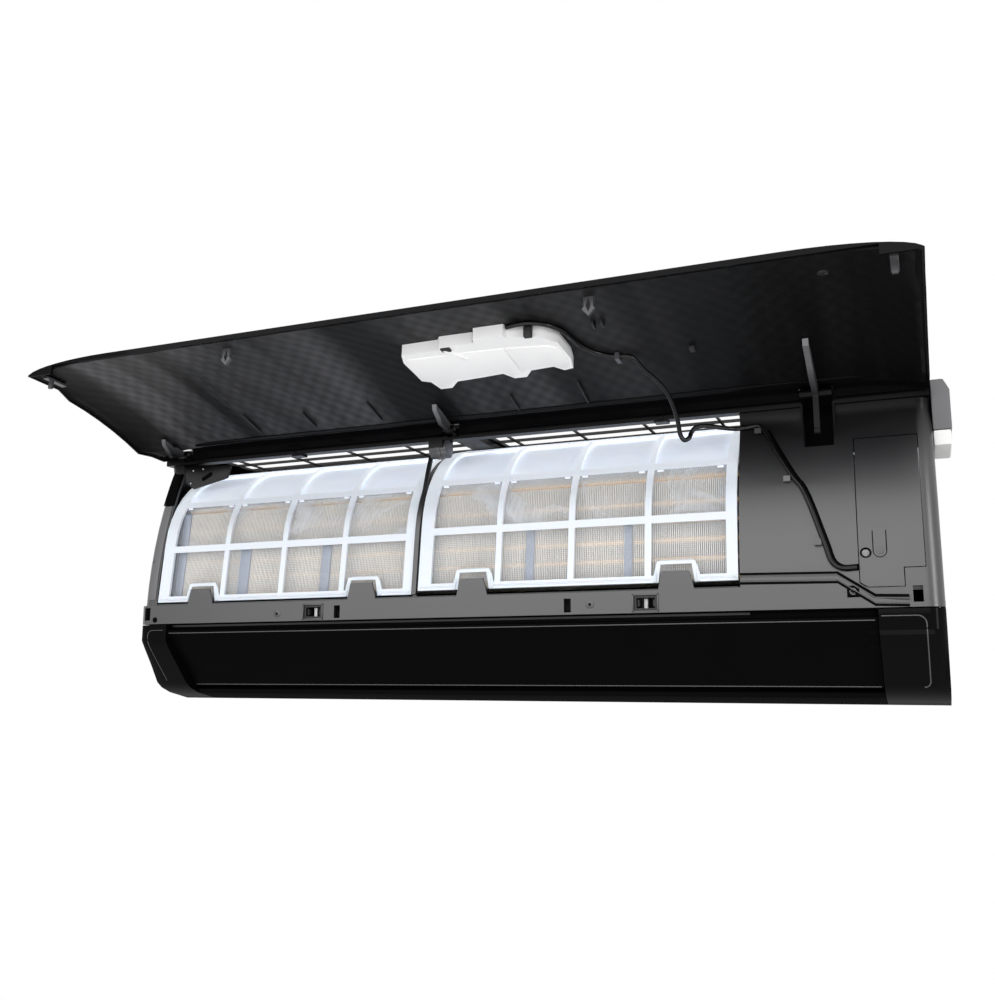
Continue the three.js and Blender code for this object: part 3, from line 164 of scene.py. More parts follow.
def wire(tree, node, outputs):
    """Links outputs to the sockets of a node that is there already."""
    for socket, output in outputs.items():
        tree.links.new(output, node.inputs[socket])


print("mid grey is", [round(c, 3) for c in linear("#808080")])

# %% [markdown]
# ## Plastics
# Nearly all of the shell is injection-moulded. Such a wall has a fine grain, and over a hand's width its tone
# and shine drift a little, so each plastic mixes two close tones and its roughness by a slow noise, and takes
# its grain from a fine one. An image could give the same, but it would have to be unwrapped on each piece,
# and a noise on Object coordinates fits them all. A plastic can also fade to black, in colour and sheen,
# between two heights: painted shade, on the frame under the raised panel and on the arms' feet in their
# recess.

# %% Moulded plastic
def plastic(name, tones, shine, grain=0.5, depth=0.02, shader=None, painted_shade=None):
    """grain, depth and the two heights of the painted shade, where colour and sheen fade to black, are in mm;
    shine is the least and the greatest roughness.
    """
    material, tree, surface, where = start_material(name, shader or {})
    drift = add_node(tree, "TexNoise", {"Vector": where, "Scale": 12.0, "Detail": 4.0}, "Fac")
    colour = add_node(tree, "Mix", {0: drift, 6: linear(tones[0]), 7: linear(tones[1])}, 2, data_type="RGBA")
    fine = add_node(tree, "TexNoise", {"Vector": where, "Scale": 1 / (grain * MM), "Detail": 2.0}, "Fac")
    bump = {"Height": fine, "Strength": 0.6, "Distance": depth * MM}
    if painted_shade:
        # Painted shade: between the two heights the colour and the sheen fade to black.
        height = add_node(tree, "SeparateXYZ", [where], "Z")
        unshaded_share = add_node(tree, "MapRange", [height, painted_shade[0] * MM, painted_shade[1] * MM, 1.0, 0.1], "Result")
        colour = add_node(tree, "Mix", {0: unshaded_share, 6: linear("#020202"), 7: colour}, 2, data_type="RGBA")
        wire(tree, surface, {"Specular IOR Level": unshaded_share})
    wire(tree, surface, {"Base Color": colour, "Normal": add_node(tree, "Bump", bump, "Normal"),
                         "Roughness": add_node(tree, "MapRange", [drift, 0, 1, *shine], "Result")})
    return material


def coated(weight, roughness):
    """A deep black keeps its depth at a flat angle when only a thin clear coat mirrors."""
    return {"Specular IOR Level": 0.0, "Coat Weight": weight, "Coat Roughness": roughness}


print("plastic helper ready")

# %% [markdown]
# The blacks differ mostly in how they mirror, and the whites in how much light they let through.

# %% The plastics of this unit
# Satin black ABS: the frame; a soft sheen that turns grey where it faces the light. From 62 mm up its colour
# and sheen fade to black: painted shade under the raised panel.
satin_black = plastic("satin_black_abs", ("#1d1d1f", "#242427"), (0.30, 0.38), painted_shade=(62, 122))
# Polished black ABS: the outside of the front panel; sharp reflections.
gloss_black = plastic("polished_black_abs", ("#09090a", "#0d0d0f"), (0.05, 0.12), 1.5, 0.004,
                      coated(0.14, 0.06))
# Deep black lacquer on the end covers: nearly no grey veil, only small sharp highlights.
cover_black = plastic("deep_black_lacquer", ("#050506", "#08080a"), (0.10, 0.18), 1.5, 0.004,
                      coated(0.10, 0.1))
# Matt black polystyrene: the casing and the grille; it only has to be dark.
matt_black = plastic("matt_black_polystyrene", ("#101011", "#161617"), (0.45, 0.6), 0.4, 0.03)
# Flat black coat on the louvre: almost no sheen at all.
louvre_black = plastic("louvre_flat_black", ("#040404", "#070707"), (0.45, 0.55), 0.6, 0.01,
                       coated(0.04, 0.4))
# Dark grey acetal: the hinge arms and hooks, slippery and a little waxy.
hinge_grey = plastic("dark_grey_acetal", ("#3f3f42", "#4a4a4d"), (0.28, 0.38))
# Grey acetal for the hinge arms; below 146 mm they fade to black, painted shade at their feet in the recess.
arm_grey = plastic("grey_acetal_painted_shade", ("#58585b", "#646467"), (0.28, 0.38), painted_shade=(146, 130))
# Mid grey filled nylon: the pipe cover at the side.
cover_grey = plastic("mid_grey_nylon", ("#5c5c5e", "#68686a"), (0.4, 0.5))
# Cool white polypropylene: the filter frames, thin and slightly milky.
filter_white = plastic("cool_white_polypropylene", ("#dee5ee", "#e8edf5"), (0.38, 0.5), 0.6, 0.02,
                       {"Subsurface Weight": 0.15, "Subsurface Scale": 0.002})
# White ABS: the display box.
display_white = plastic("white_abs", ("#f8f8f8", "#fdfdfd"), (0.35, 0.45))
# Soft PVC sheath: the leads, black with a clear highlight along them.
lead_black = plastic("black_pvc_sheath", ("#060607", "#0b0b0c"), (0.22, 0.30), 0.8, 0.02,
                     {"Specular IOR Level": 0.3})
# Rubber: the seat round the fan's bearing, fully matt.
rubber = plastic("black_rubber", ("#1a1a1a", "#202020"), (0.75, 0.85), 0.5, 0.05)
# Polyethylene foam: the pale sleeve under the pipe cover, with open cells about 1.5 mm wide.
foam = plastic("pale_polyethylene_foam", ("#eeeeed", "#f7f7f6"), (0.7, 0.85), 1.5, 0.35)
# Lacquered circuit board: green glass fibre under a thin clear coat.
board_green = plastic("lacquered_circuit_board", ("#28553a", "#316344"), (0.3, 0.4), 1.2, 0.03,
                      {"Coat Weight": 0.4})
print(len(bpy.data.materials), "materials so far")

# %% [markdown]
# The filters' thin bars stand against the open grille, and daylight comes through them, more the higher
# they lie. A weak glow between two heights stands for it.

# %% Daylight in the filter bars
BARS_GLOW = (0.055, 0.105)
tree = filter_white.node_tree
surface, where = tree.nodes["Principled BSDF"], tree.nodes["Texture Coordinate"].outputs["Object"]
height = add_node(tree, "SeparateXYZ", [where], "Z")
through = add_node(tree, "MapRange", [height, *BARS_GLOW, 0.0, 0.5], "Result")
wire(tree, surface, {"Emission Strength": through})
surface.inputs["Emission Color"].default_value = linear("#e6edf6")
print("bars glow between", BARS_GLOW, "m")

# %% [markdown]
# ## Metals
# The heat exchanger is aluminium fins on copper tubes, and brackets and screws are zinc-plated steel.
# With one smooth roughness they would all look like chrome. So a metal keeps the default IOR and shows
# its make in its roughness: rolled fins streak along the sheet, drawn tube is a dulled mirror, and zinc
# is cloudy.

# %% Rolled, drawn and plated metal
def metal(name, tones, shine, stretch, scale, metallic=1.0):
    """stretch pulls the pattern out along an axis; scale is the width of its streaks in mm."""
    material, tree, surface, where = start_material(name, {"Metallic": metallic})
    pulled = add_node(tree, "Mapping", {"Vector": where, "Scale": stretch}, "Vector")
    streak = add_node(tree, "TexNoise", {"Vector": pulled, "Scale": 1 / (scale * MM), "Detail": 3.0}, "Fac")
    tone = {0: streak, 6: linear(tones[0]), 7: linear(tones[1])}
    bump = {"Height": streak, "Strength": 0.3, "Distance": 0.02 * MM}
    wire(tree, surface, {"Base Color": add_node(tree, "Mix", tone, 2, data_type="RGBA"),
                         "Roughness": add_node(tree, "MapRange", [streak, 0, 1, *shine], "Result"),
                         "Normal": add_node(tree, "Bump", bump, "Normal")})
    return material


# Coated fin stock: the lacquer that sheds water makes it a warm, soft silver rather than a mirror.
fin_metal = metal("lacquered_aluminium_fins", ("#efe7da", "#fbf6ec"), (0.45, 0.65), (1, 1, 0.1), 3.0, 0.0)
# Drawn copper tube: a warm, fairly sharp reflection. Between the fins it has tarnished to a pale gold.
copper = metal("drawn_copper_tube", ("#b9764c", "#d08f63"), (0.18, 0.3), (0.1, 1, 1), 4.0)
pale_copper = metal("tarnished_copper_tube", ("#d6ab72", "#e8c692"), (0.35, 0.5), (0.1, 1, 1), 4.0, 0.6)
# Blue-grey coated steel: the end plates and supports behind the nets.
coated_plate = metal("blue_grey_coated_steel", ("#7f8798", "#9199a8"), (0.4, 0.5), (1, 1, 0.2), 6.0, 0.2)
# Zinc-plated steel: the mounting plate, rivets and control box.
zinc_steel = metal("zinc_plated_steel", ("#9d9fa1", "#b4b6b8"), (0.3, 0.48), (1, 1, 1), 9.0)
# Grey-passivated zinc: the screw in the wiring cover, darker than plain zinc.
grey_zinc = metal("grey_passivated_zinc", ("#68686a", "#8a8a8c"), (0.3, 0.45), (1, 1, 1), 4.0)
# Die-cast motor shell: grainy and dull.
cast_shell = metal("cast_aluminium_shell", ("#909294", "#a6a8aa"), (0.45, 0.6), (1, 1, 1), 2.0)
print(len(bpy.data.materials), "materials with the metals")

# %% [markdown]
# ## Inside of the front panel
# The carrier is black, with a faint emboss of diamonds. Soft grey streaks from the hinge to the free edge,
# brighter towards the left, are a painted sheen in its colour. It is seen at a very flat angle, where a usual
# plastic turns into a mirror, so its specular level is low.

# %% Embossed black for the carrier
DIAMOND, EMBOSS_DEPTH, EMBOSS_ANGLE = 13.0, 0.25, math.radians(40)
WAVE_PERIOD = 2 * math.pi / 20  # the Wave node's own period at scale 1
panel_inner, tree, surface, where = start_material("embossed_black_abs", {"Specular IOR Level": 0.08})
streaks = add_node(tree, "Mapping", {"Vector": where, "Scale": (9.0, 0.7, 0.7)}, "Vector")
soft = add_node(tree, "TexNoise", {"Vector": streaks, "Scale": 2.2, "Detail": 5.0}, "Fac")
across = add_node(tree, "SeparateXYZ", [where], "X")
leftward = add_node(tree, "MapRange", [across, 0.25, -0.4, 0.08, 1.0], "Result")
strength = add_node(tree, "MapRange", [soft, 0.42, 0.72, 0.0, 1.0], "Result")
amount = add_node(tree, "Math", [strength, leftward], "Value", operation="MULTIPLY")
# Two sets of slanting waves cross in diamonds; their sum is the height, and the painted sheen streaks show on
# it.
waves = []
for turn in (EMBOSS_ANGLE, -EMBOSS_ANGLE):
    slanted = add_node(tree, "Mapping", {"Vector": where, "Rotation": (0, 0, turn)}, "Vector")
    wave = {"Vector": slanted, "Scale": WAVE_PERIOD / (DIAMOND * MM), "Distortion": 0.6}
    waves.append(add_node(tree, "TexWave", wave, "Fac"))
crossed = add_node(tree, "Math", waves, "Value", operation="ADD")
facets = add_node(tree, "MapRange", [crossed, 0.0, 2.0, 0.6, 1.2], "Result")
# Painted sheen: the grey of the streaks, brighter to the left and on the diamonds' facets, is put in the
# colour.
lit = add_node(tree, "Math", [amount, facets], "Value", operation="MULTIPLY", use_clamp=True)
tone = {0: lit, 6: linear("#0a0a0b"), 7: linear("#5e5e61")}
bump = {"Height": crossed, "Strength": 0.5, "Distance": EMBOSS_DEPTH * MM}
wire(tree, surface, {"Base Color": add_node(tree, "Mix", tone, 2, data_type="RGBA"),
                     "Roughness": add_node(tree, "MapRange", [soft, 0, 1, 0.5, 0.35], "Result"),
                     "Normal": add_node(tree, "Bump", bump, "Normal")})
print("made", panel_inner.name)

# %% [markdown]
# ## The net
# A filter's net is a plain weave of white polyester. Threads made one by one would take thousands of faces,
# so the net is one sheet, and its alpha lets the holes through. The real threads stand about 1 mm apart, as
# fine as the picture's own dots, so the weave is drawn 1.4 mm apart and softened. Along the top it is drawn
# denser, so that it hides what is behind.

# %% Polyester weave
THREAD_PITCH, NET_WIDTH, NET_LENGTH = 1.4, 312.0, 235.0
VEIL_AND_GLOW_FROM, CLEAN_BELOW = (0.0742, 0.0790), (0.018, 0.026)
net_weave, tree, surface, where = start_material("polyester_net", {"Roughness": 0.75})
along = add_node(tree, "UVMap", output="UV", uv_map="UVMap")
threads = []
for direction, size in (("X", NET_WIDTH), ("Y", NET_LENGTH)):
    wave = {"Vector": along, "Scale": WAVE_PERIOD * size / THREAD_PITCH, "Distortion": 0.0}
    threads.append(add_node(tree, "TexWave", wave, "Fac", bands_direction=direction))
thread = add_node(tree, "Math", threads, "Value", operation="MAXIMUM")
woven = add_node(tree, "MapRange", [thread, 0.3, 1.0, 0.03, 0.22], "Result")
height = add_node(tree, "SeparateXYZ", [where], "Z")
# This mask makes the top of the net denser and also drives its painted glow.
veil_and_glow = add_node(tree, "MapRange", [height, *VEIL_AND_GLOW_FROM, 0.0, 0.78], "Result",
                  interpolation_type="SMOOTHSTEP")
dust = add_node(tree, "TexNoise", {"Vector": where, "Scale": 16.0, "Detail": 3.0, "Distortion": 1.4}, "Fac")
dusty = add_node(tree, "MapRange", [dust, 0.5, 0.72, 0.0, 0.26], "Result")
# The lower row is clean: the haze starts above its bar.
clean_foot = add_node(tree, "MapRange", [height, *CLEAN_BELOW], "Result")
haze = add_node(tree, "Math", [dusty, clean_foot], "Value", operation="MULTIPLY")
cover = add_node(tree, "Math", [woven, veil_and_glow], "Value", operation="ADD")
total = add_node(tree, "Math", [cover, haze], "Value", operation="ADD", use_clamp=True)
# Daylight from the open grille above shines through the denser top; a weak glow, painted light, stands for
# it.
glow = add_node(tree, "Math", [veil_and_glow, 0.44], "Value", operation="MULTIPLY")
tones = {0: dust, 6: linear("#dde6f4"), 7: linear("#f0f4fa")}
tone = add_node(tree, "Mix", tones, 2, data_type="RGBA")
bump = {"Height": thread, "Strength": 0.3, "Distance": 0.1 * MM}
wire(tree, surface, {"Base Color": tone, "Alpha": total, "Emission Color": tone, "Emission Strength": glow,
                     "Normal": add_node(tree, "Bump", bump, "Normal")})
print("weave of", THREAD_PITCH, "mm")

# %% [markdown]
# ## Dressing a CAD node
# Where the CAD shape is right, its faces still come as loose triangles with hard shading. A copy is merged
# into one skin, its flat faces are joined, and it is shaded smooth up to an angle, so that curves look
# round and corners stay crisp. Normals are weighted by face size, so that a small hole does not bend the
# light on the wall round it. The copy then stands for the node and rides on its body.

# %% Helpers that finish a piece
def finish_piece(piece, material, body="chassis", angle=35, slot=None):
    """The argument slot is not used."""
    piece.data.materials.clear()
    piece.data.materials.append(material)
    select_only(piece)
    bpy.ops.object.shade_smooth_by_angle(angle=math.radians(angle))
    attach(piece, body)
    return piece


def round_edges(piece, width):
    """Rounds the edges sharper than 40 degrees, as a mould leaves them; width in mm."""
    modify(piece, "BEVEL", width=width * MM, segments=2, limit_method="ANGLE", angle_limit=math.radians(40))


def dress(node, material, slot, angle=35, rounding=0.0):
    source = frame["nodes"][node]
    piece = new_object(node + "_skin", source.data.copy())
    select_only(piece)
    bpy.ops.mesh.customdata_custom_splitnormals_clear()
    bpy.ops.object.mode_set(mode="EDIT")
    bpy.ops.mesh.select_all(action="SELECT")
    bpy.ops.mesh.remove_doubles(threshold=0.00001)
    bpy.ops.mesh.dissolve_limited(angle_limit=math.radians(0.6))
    bpy.ops.object.mode_set(mode="OBJECT")
    if rounding:
        round_edges(piece, rounding)
    finish_piece(piece, material, source["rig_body"], angle, slot)
    modify(piece, "WEIGHTED_NORMAL", keep_sharp=True)
    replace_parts(piece, node)
    return piece


print("helpers ready")

# %% [markdown]
# ## The shell, the works and the moving parts
# These nodes have the right shape already. Each gets the finish of the real part.

# %% Dress the CAD nodes
VANES = [f"vane_{i}" for i in range(1, 8)]
FINISHES = [
    (satin_black, "frame_satin_black", 0.0, ["front_frame", "wiring_cover", "manual_button"]),
    (gloss_black, "gloss_black", 0.0, ["front_panel_skin"]),
    (cover_black, "gloss_black", 0.0, ["end_cover_left", "end_cover_right"]),
    (panel_inner, "moulding_black", 0.0, ["front_panel_carrier"]),
    (matt_black, "moulding_black", 0.0,
     ["top_grille_left", "top_grille_right", "rear_casing", "drain_pan", "cross_flow_fan",
      "vane_link", "latch_catch_left", "latch_catch_right", *VANES]),
    (louvre_black, "moulding_black", 0.0, ["louvre", "bottom_cover"]),
    (arm_grey, "hinge_grey", 0.25, ["hinge_arm_left", "hinge_arm_centre", "hinge_arm_right"]),
    (hinge_grey, "hinge_grey", 0.25,
     ["latch_hook_left", "latch_hook_right", "end_hook_left", "end_hook_right", "cable_hook"]),
    (cover_grey, "hinge_grey", 1.2, ["side_pipe_cover"]),
    (filter_white, "filter_white", 0.0, ["filter_frame_left", "filter_frame_right"]),
    (display_white, "display_white", 0.3, ["display_box"]),
    (foam, "foam_grey", 1.5, ["side_pipe_seal"]),
    (coated_plate, "fin_aluminium", 0.0, ["evaporator_end_right"]),
    (copper, "tube_copper", 0.0, ["evaporator_end_left", "suction_pipe", "liquid_pipe"]),
    (zinc_steel, "zinc_steel", 0.0, ["control_box", "mounting_plate"]),
    (cast_shell, "motor_shell", 0.4, ["fan_motor", "louvre_motor"]),
    (rubber, "rubber_black", 0.4, ["fan_bearing"]),
    (board_green, "board_green", 0.2, ["control_board"]),
]
for material, slot, rounding, nodes in FINISHES:
    for node in nodes:
        dress(node, material, slot, rounding=rounding)
print("dressed", sum(len(row[3]) for row in FINISHES), "nodes")

# %% [markdown]
# ## Ways to model the added pieces
# Small moulded details start from a flat outline that is pushed out into a body, or from a block, and end
# with rounded edges.

# %% Outlines and blocks
def extruded(name, outline, push, rounding=0.0):
    """Fills an outline of points (mm) and extrudes it along push (mm)."""
    select_only()
    bpy.ops.mesh.primitive_circle_add(vertices=len(outline), radius=0.01, fill_type="NGON")
    piece = bpy.context.object
    piece.name = name
    for vertex, point in zip(piece.data.vertices, outline):
        vertex.co = mm(point)
    bpy.ops.object.mode_set(mode="EDIT")
    bpy.ops.mesh.select_all(action="SELECT")
    bpy.ops.mesh.extrude_region_move(TRANSFORM_OT_translate={"value": mm(push)})
    bpy.ops.mesh.select_all(action="SELECT")
    bpy.ops.mesh.normals_make_consistent(inside=False)
    bpy.ops.object.mode_set(mode="OBJECT")
    if rounding:
        round_edges(piece, rounding)
    return piece


def rectangle(left, right, low, high):
    return [(left, low), (right, low), (right, high), (left, high)]


def block(name, low, high, rounding=0.0):
    outline = [(x, low[1], z) for x, z in rectangle(low[0], high[0], low[2], high[2])]
    return extruded(name, outline, (0, high[1] - low[1], 0), rounding)


def assemble(name, pieces, material, **finish):
    """Joins the bodies of one moulding into one piece and finishes it."""
    select_only(*pieces)
    bpy.ops.object.join()
    pieces[0].name = name
    return finish_piece(pieces[0], material, **finish)


print("outline helpers ready")

# %% [markdown]
# Round forms are points on arcs, and a bead or a lead is a round rod along a line.

# %% Arcs, discs and rods
def arc(centre, radius, start, end, count):
    """Points (a, b) on an arc from one angle to another, in degrees."""
    angles = [math.radians(start + (end - start) * i / (count - 1)) for i in range(count)]
    return [(centre[0] + radius * math.cos(t), centre[1] + radius * math.sin(t)) for t in angles]


def circle(centre, radius, sides=24):
    return arc(centre, radius, 0, 360 - 360 / sides, sides)


def round_corners(left, right, low, high, radius):
    """An outline (a, b) of a rectangle with round corners."""
    centres = rectangle(left + radius, right - radius, low + radius, high - radius)
    return [p for k, centre in enumerate(centres) for p in arc(centre, radius, 90 * k - 180, 90 * k - 90, 6)]


def disc(name, centre, radius, y, sides=24, rounding=0.0):
    """A disc 1 mm thick that looks to the front; centre is (x, z)."""
    return extruded(name, [(x, y, z) for x, z in circle(centre, radius, sides)], (0, 1, 0), rounding)


def round_rod(name, points, radius, roundness=2):
    """A round rod through points in mm, made a mesh."""
    line = bpy.data.curves.new(name, "CURVE")
    line.dimensions, line.bevel_depth, line.use_fill_caps = "3D", radius * MM, True
    line.bevel_resolution = roundness
    spline = line.splines.new("POLY")
    spline.points.add(len(points) - 1)
    for knot, place in zip(spline.points, points):
        knot.co = (*mm(place), 1.0)
    select_only(new_object(name, line))
    bpy.ops.object.convert(target="MESH")
    return bpy.context.object


print("round helpers ready")

# %% [markdown]
# ## Curves of the face and of the panel
# The face leans back in one big arc, and the panel has its own flatter one. The CAD's own formulas keep
# the details on those surfaces. What is on the panel is modelled with the panel shut, then swung up.

# %% Surfaces to place things on
FACE_FRONT, FACE_R, FACE_FOOT_Z = -191.5, 444, -60
PANEL_MID_Z, PANEL_HALF = 34.5, 104.5
PANEL_MID_Y, PANEL_LEAN, PANEL_CROWN = -196.25, 15.25, 8


def face_y(z):
    return FACE_FRONT + FACE_R - math.sqrt(FACE_R**2 - (z - FACE_FOOT_Z) ** 2)


def panel_front(z):
    t = (PANEL_MID_Z - z) / PANEL_HALF
    return PANEL_MID_Y - PANEL_LEAN * t - PANEL_CROWN * (1 - t * t)


HINGE = mm((0, -172, 134))
SWING = Matrix.Translation(HINGE) @ Matrix.Rotation(math.radians(-95), 4, "X") @ Matrix.Translation(-HINGE)
CARRIER_BACK, ROOTED = 5.1, 0.4  # the carrier's inner face behind the front; how deep details are rooted


def on_carrier(name, outline, thickness, lift=0.0, rounding=0.2):
    """An outline (x, z) of the shut panel, raised from the carrier's inner face and swung up with it."""
    points = [(x, panel_front(z) + CARRIER_BACK + lift - ROOTED, z) for x, z in outline]
    piece = extruded(name, points, (0, thickness + ROOTED, 0), rounding)
    piece.matrix_world = SWING
    select_only(piece)
    bpy.ops.object.transform_apply()
    return piece


print("face at the wiring cover", round(face_y(30), 1), "mm")

# %% [markdown]
# ## Filter nets
# Each net is a thin cloth stretched over the curve of its frame, from the foot over the knee to the tail.
# A cloth simulation would end in nearly the same shape, because the frame holds the net all round, so its
# points are put on that curve directly.

# %% The curve of a filter
FOOT, KNEE = (-191.5, -38.0), (-184.0, 28.0)
LEAN = math.degrees(math.atan2(KNEE[0] - FOOT[0], KNEE[1] - FOOT[1]))
ARC_R, ARC_END, TAIL, TAIL_SLOPE = 108.0, 105.0, 38.0, math.radians(15.0)
ARC_START = 180.0 - LEAN
ARC_CENTRE = (KNEE[0] - ARC_R * math.cos(math.radians(ARC_START)),
              KNEE[1] - ARC_R * math.sin(math.radians(ARC_START)))
FOOT_STEPS, BEND_STEPS, TAIL_STEPS = 12, 40, 8


def filter_curve(inset):
    """Points (y, z) from foot to tail, the surface moved inwards by inset."""
    bend = arc(ARC_CENTRE, ARC_R - inset, ARC_START, ARC_END, BEND_STEPS)
    square = (bend[0][0] - KNEE[0], bend[0][1] - KNEE[1])
    foot = [tuple(FOOT[k] + square[k] + (KNEE[k] - FOOT[k]) * i / FOOT_STEPS for k in (0, 1))
            for i in range(FOOT_STEPS)]
    tail = [(bend[-1][0] + TAIL * i / TAIL_STEPS * math.cos(TAIL_SLOPE),
             bend[-1][1] + TAIL * i / TAIL_STEPS * math.sin(TAIL_SLOPE)) for i in range(1, TAIL_STEPS + 1)]
    return foot + bend + tail


curve = filter_curve(3.6)

# %% [markdown]
# A grid gives the net its points, and the UV map that the weave follows. The wrinkles come from a noise,
# and they fade out where a bar holds the net.

# %% Lay the nets
FILTERS = {"left": (-394.0, 0.0), "right": (-68.5, 3.5)}
NET_COLUMNS, NET_INSET, FIRST_BAR, BAR_PITCH = 96, 3, 11.5, 75.0
HALF_PITCH = BAR_PITCH / 2


def lay_net(side, start_x, lift):
    rows = len(curve) - 1
    select_only()
    bpy.ops.mesh.primitive_grid_add(x_subdivisions=NET_COLUMNS, y_subdivisions=rows, size=1, calc_uvs=True)
    net = bpy.context.object
    net.name = f"net_{side}"
    for vertex in net.data.vertices:
        x = start_x + NET_INSET + NET_WIDTH * (vertex.co.x + 0.5)
        y, z = curve[round((vertex.co.y + 0.5) * rows)]
        past_bar = (x - start_x - FIRST_BAR + HALF_PITCH) % BAR_PITCH
        from_bar = abs(past_bar - HALF_PITCH) / HALF_PITCH
        wrinkle = noise.noise(Vector((x / 34, z / 11 + x / 60, y / 30 + start_x))) * 1.1
        ripple = wrinkle * min(1, from_bar * 1.6)
        vertex.co = mm((x, y + 0.4 + ripple * 0.7, z + lift - ripple * 0.5))
    modify(net, "SOLIDIFY", thickness=0.2 * MM)
    finish_piece(net, net_weave, body=f"filter_{side}", angle=60, slot="filter_weave")
    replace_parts(net, f"filter_net_{side}")
    return net


for side, (start_x, lift) in FILTERS.items():
    print(lay_net(side, start_x, lift).name, "laid")

# %% [markdown]
# ## Heat exchanger
# Three slabs of aluminium fins are threaded on copper tubes. Stripes in a bump would look flat from the
# side, so the fins are real. One is modelled with a slightly wavy front edge, and an array copies it
# along each slab. Real fins are 0.1 mm thick; these are thicker, so that they keep their light at this
# distance.

# %% Fins and tubes
FIN_FROM, FIN_TO, FIN_PITCH, FIN_THICK, SLAB_THICK = -377.8, 249.8, 1.8, 0.7, 26.0
FIN_WAVES, WAVE_DEPTH = 12, 0.25
SLABS = {
    "lower": ((-166.0, -34.0), (-154.9, 62.5)),
    "upper": ((-156.0, 58.6), (-96.0, 105.0)),
    "rear": ((-71.0, 107.0), (-34.0, 44.0)),
}
TUBE_R, TUBE_PITCH = 3.5, 18.2


def slab_point(line, along_slab, out):
    """A point (y, z) so far along the slab and so far to its front."""
    (y0, z0), (y1, z1) = line
    length = math.dist(*line)
    y_step, z_step = (y1 - y0) / length, (z1 - z0) / length
    return y0 + y_step * along_slab - z_step * out, z0 + z_step * along_slab + y_step * out


def stack_fins(name, line):
    length, half = math.dist(*line), SLAB_THICK / 2
    front = [(length * i / FIN_WAVES, half - (WAVE_DEPTH if i % 2 else 0.0)) for i in range(FIN_WAVES + 1)]
    outline = [*front, (length, -half), (0.0, -half)]
    points = [(FIN_FROM, *slab_point(line, s, out)) for s, out in outline]
    fins = extruded(f"fins_{name}", points, (FIN_THICK, 0, 0))
    modify(fins, "ARRAY", use_relative_offset=False, use_constant_offset=True,
           constant_offset_displace=mm((FIN_PITCH, 0, 0)), count=int((FIN_TO - FIN_FROM) / FIN_PITCH))
    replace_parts(finish_piece(fins, fin_metal, slot="fin_aluminium"), f"evaporator_{name}")
    return fins


for name, line in SLABS.items():
    fins = stack_fins(name, line)
    print(fins.name, len(fins.data.polygons), "faces")

# %% [markdown]
# The tubes run the whole width and show between the fins as warm lines. Their ends are drawn in a little,
# as swaged ends are.

# %% Tubes through the fins
def straight_tube(name, place, radius, from_x, to_x, sides=16):
    ring = [(from_x, place[0] + a, place[1] + b) for a, b in circle((0, 0), radius, sides)]
    return extruded(name, ring, (to_x - from_x, 0, 0), 0.6)


TUBE_ROWS = ((SLAB_THICK / 2 - TUBE_R - 1.3, 3.2), (-5.0, 12.3))  # out of the slab's middle, first along it
tubes = []
for name, line in SLABS.items():
    length = math.dist(*line)
    for out, first in TUBE_ROWS:
        for i in range(int((length - first - TUBE_R) / TUBE_PITCH) + 1):
            centre = slab_point(line, first + TUBE_PITCH * i, out)
            tubes.append(straight_tube("tube", centre, TUBE_R, FIN_FROM - 0.4, FIN_TO + 0.4))
tube_bank = assemble("tube_bank", tubes, pale_copper, slot="tube_copper")
print("tube bank", len(tube_bank.data.polygons), "faces")

# %% [markdown]
# Vertical supports of coated steel stand behind each lower net, and a plate closes the left end of the
# fins. Through the net they show as blue-grey bars.

# %% Supports behind the nets
SUPPORT_X, SUPPORT_ALONG = [(-296, -283), (-191, -180), (42.5, 51), (142, 149.7)], (-1, 60)
END_PLATES = {"lower": (-381, -371), "upper": (-381, -375)}


def support(slab, x_range, along_slab, thick):
    corners = rectangle(*along_slab, SLAB_THICK / 2 + 0.2, SLAB_THICK / 2 + thick)
    outline = [(x_range[0], *slab_point(SLABS[slab], *corner)) for corner in corners]
    return extruded("support", outline, (x_range[1] - x_range[0], 0, 0), 0.5)


supports = [support("lower", x_range, SUPPORT_ALONG, 2.4) for x_range in SUPPORT_X]
for name, x_range in END_PLATES.items():
    supports.append(support(name, x_range, (0, math.dist(*SLABS[name])), 1.8))
assemble("net_supports", supports, coated_plate, slot="zinc_steel")
print(len(supports), "supports")

# %% [markdown]
# ## Leads
# The display box's lead leaves on the right, runs along the panel, hangs free across the hinge, and is
# clipped down the face to the wiring cover. Straight stretches would kink where they meet, so a smooth
# curve joins the points, and a round rod follows it.

# %% Points along a lead
LEAD_D = 4.4


def smooth_path(points, steps=8):
    """A smooth curve through the points (Catmull-Rom, centripetal)."""
    first, second, *_, last_but_one, last = map(Vector, points)
    ends = [2 * first - second, *map(Vector, points), 2 * last - last_but_one]
    path = []
    for four in zip(ends, ends[1:], ends[2:], ends[3:]):
        knots = [0.0]
        for p, q in zip(four, four[1:]):
            knots.append(knots[-1] + max((q - p).length, 1e-6) ** 0.5)
        for i in range(steps):
            t = knots[1] + (knots[2] - knots[1]) * i / steps
            level = list(four)
            for span in (1, 2, 3):
                nearer = []
                for k in range(len(level) - 1):
                    low, high = (k, k + span) if span < 3 else (1, 2)
                    share = (t - knots[low]) / (knots[high] - knots[low])
                    nearer.append(level[k] * (1 - share) + level[k + 1] * share)
                level = nearer
            path.append(level[0])
    path.append(last)
    return path


def lead(name, path):
    piece = round_rod(name, path, LEAD_D / 2, 4)
    piece.data.materials.clear()
    piece.data.materials.append(lead_black)
    bpy.ops.object.shade_smooth()
    return piece


print("lead of", LEAD_D, "mm")
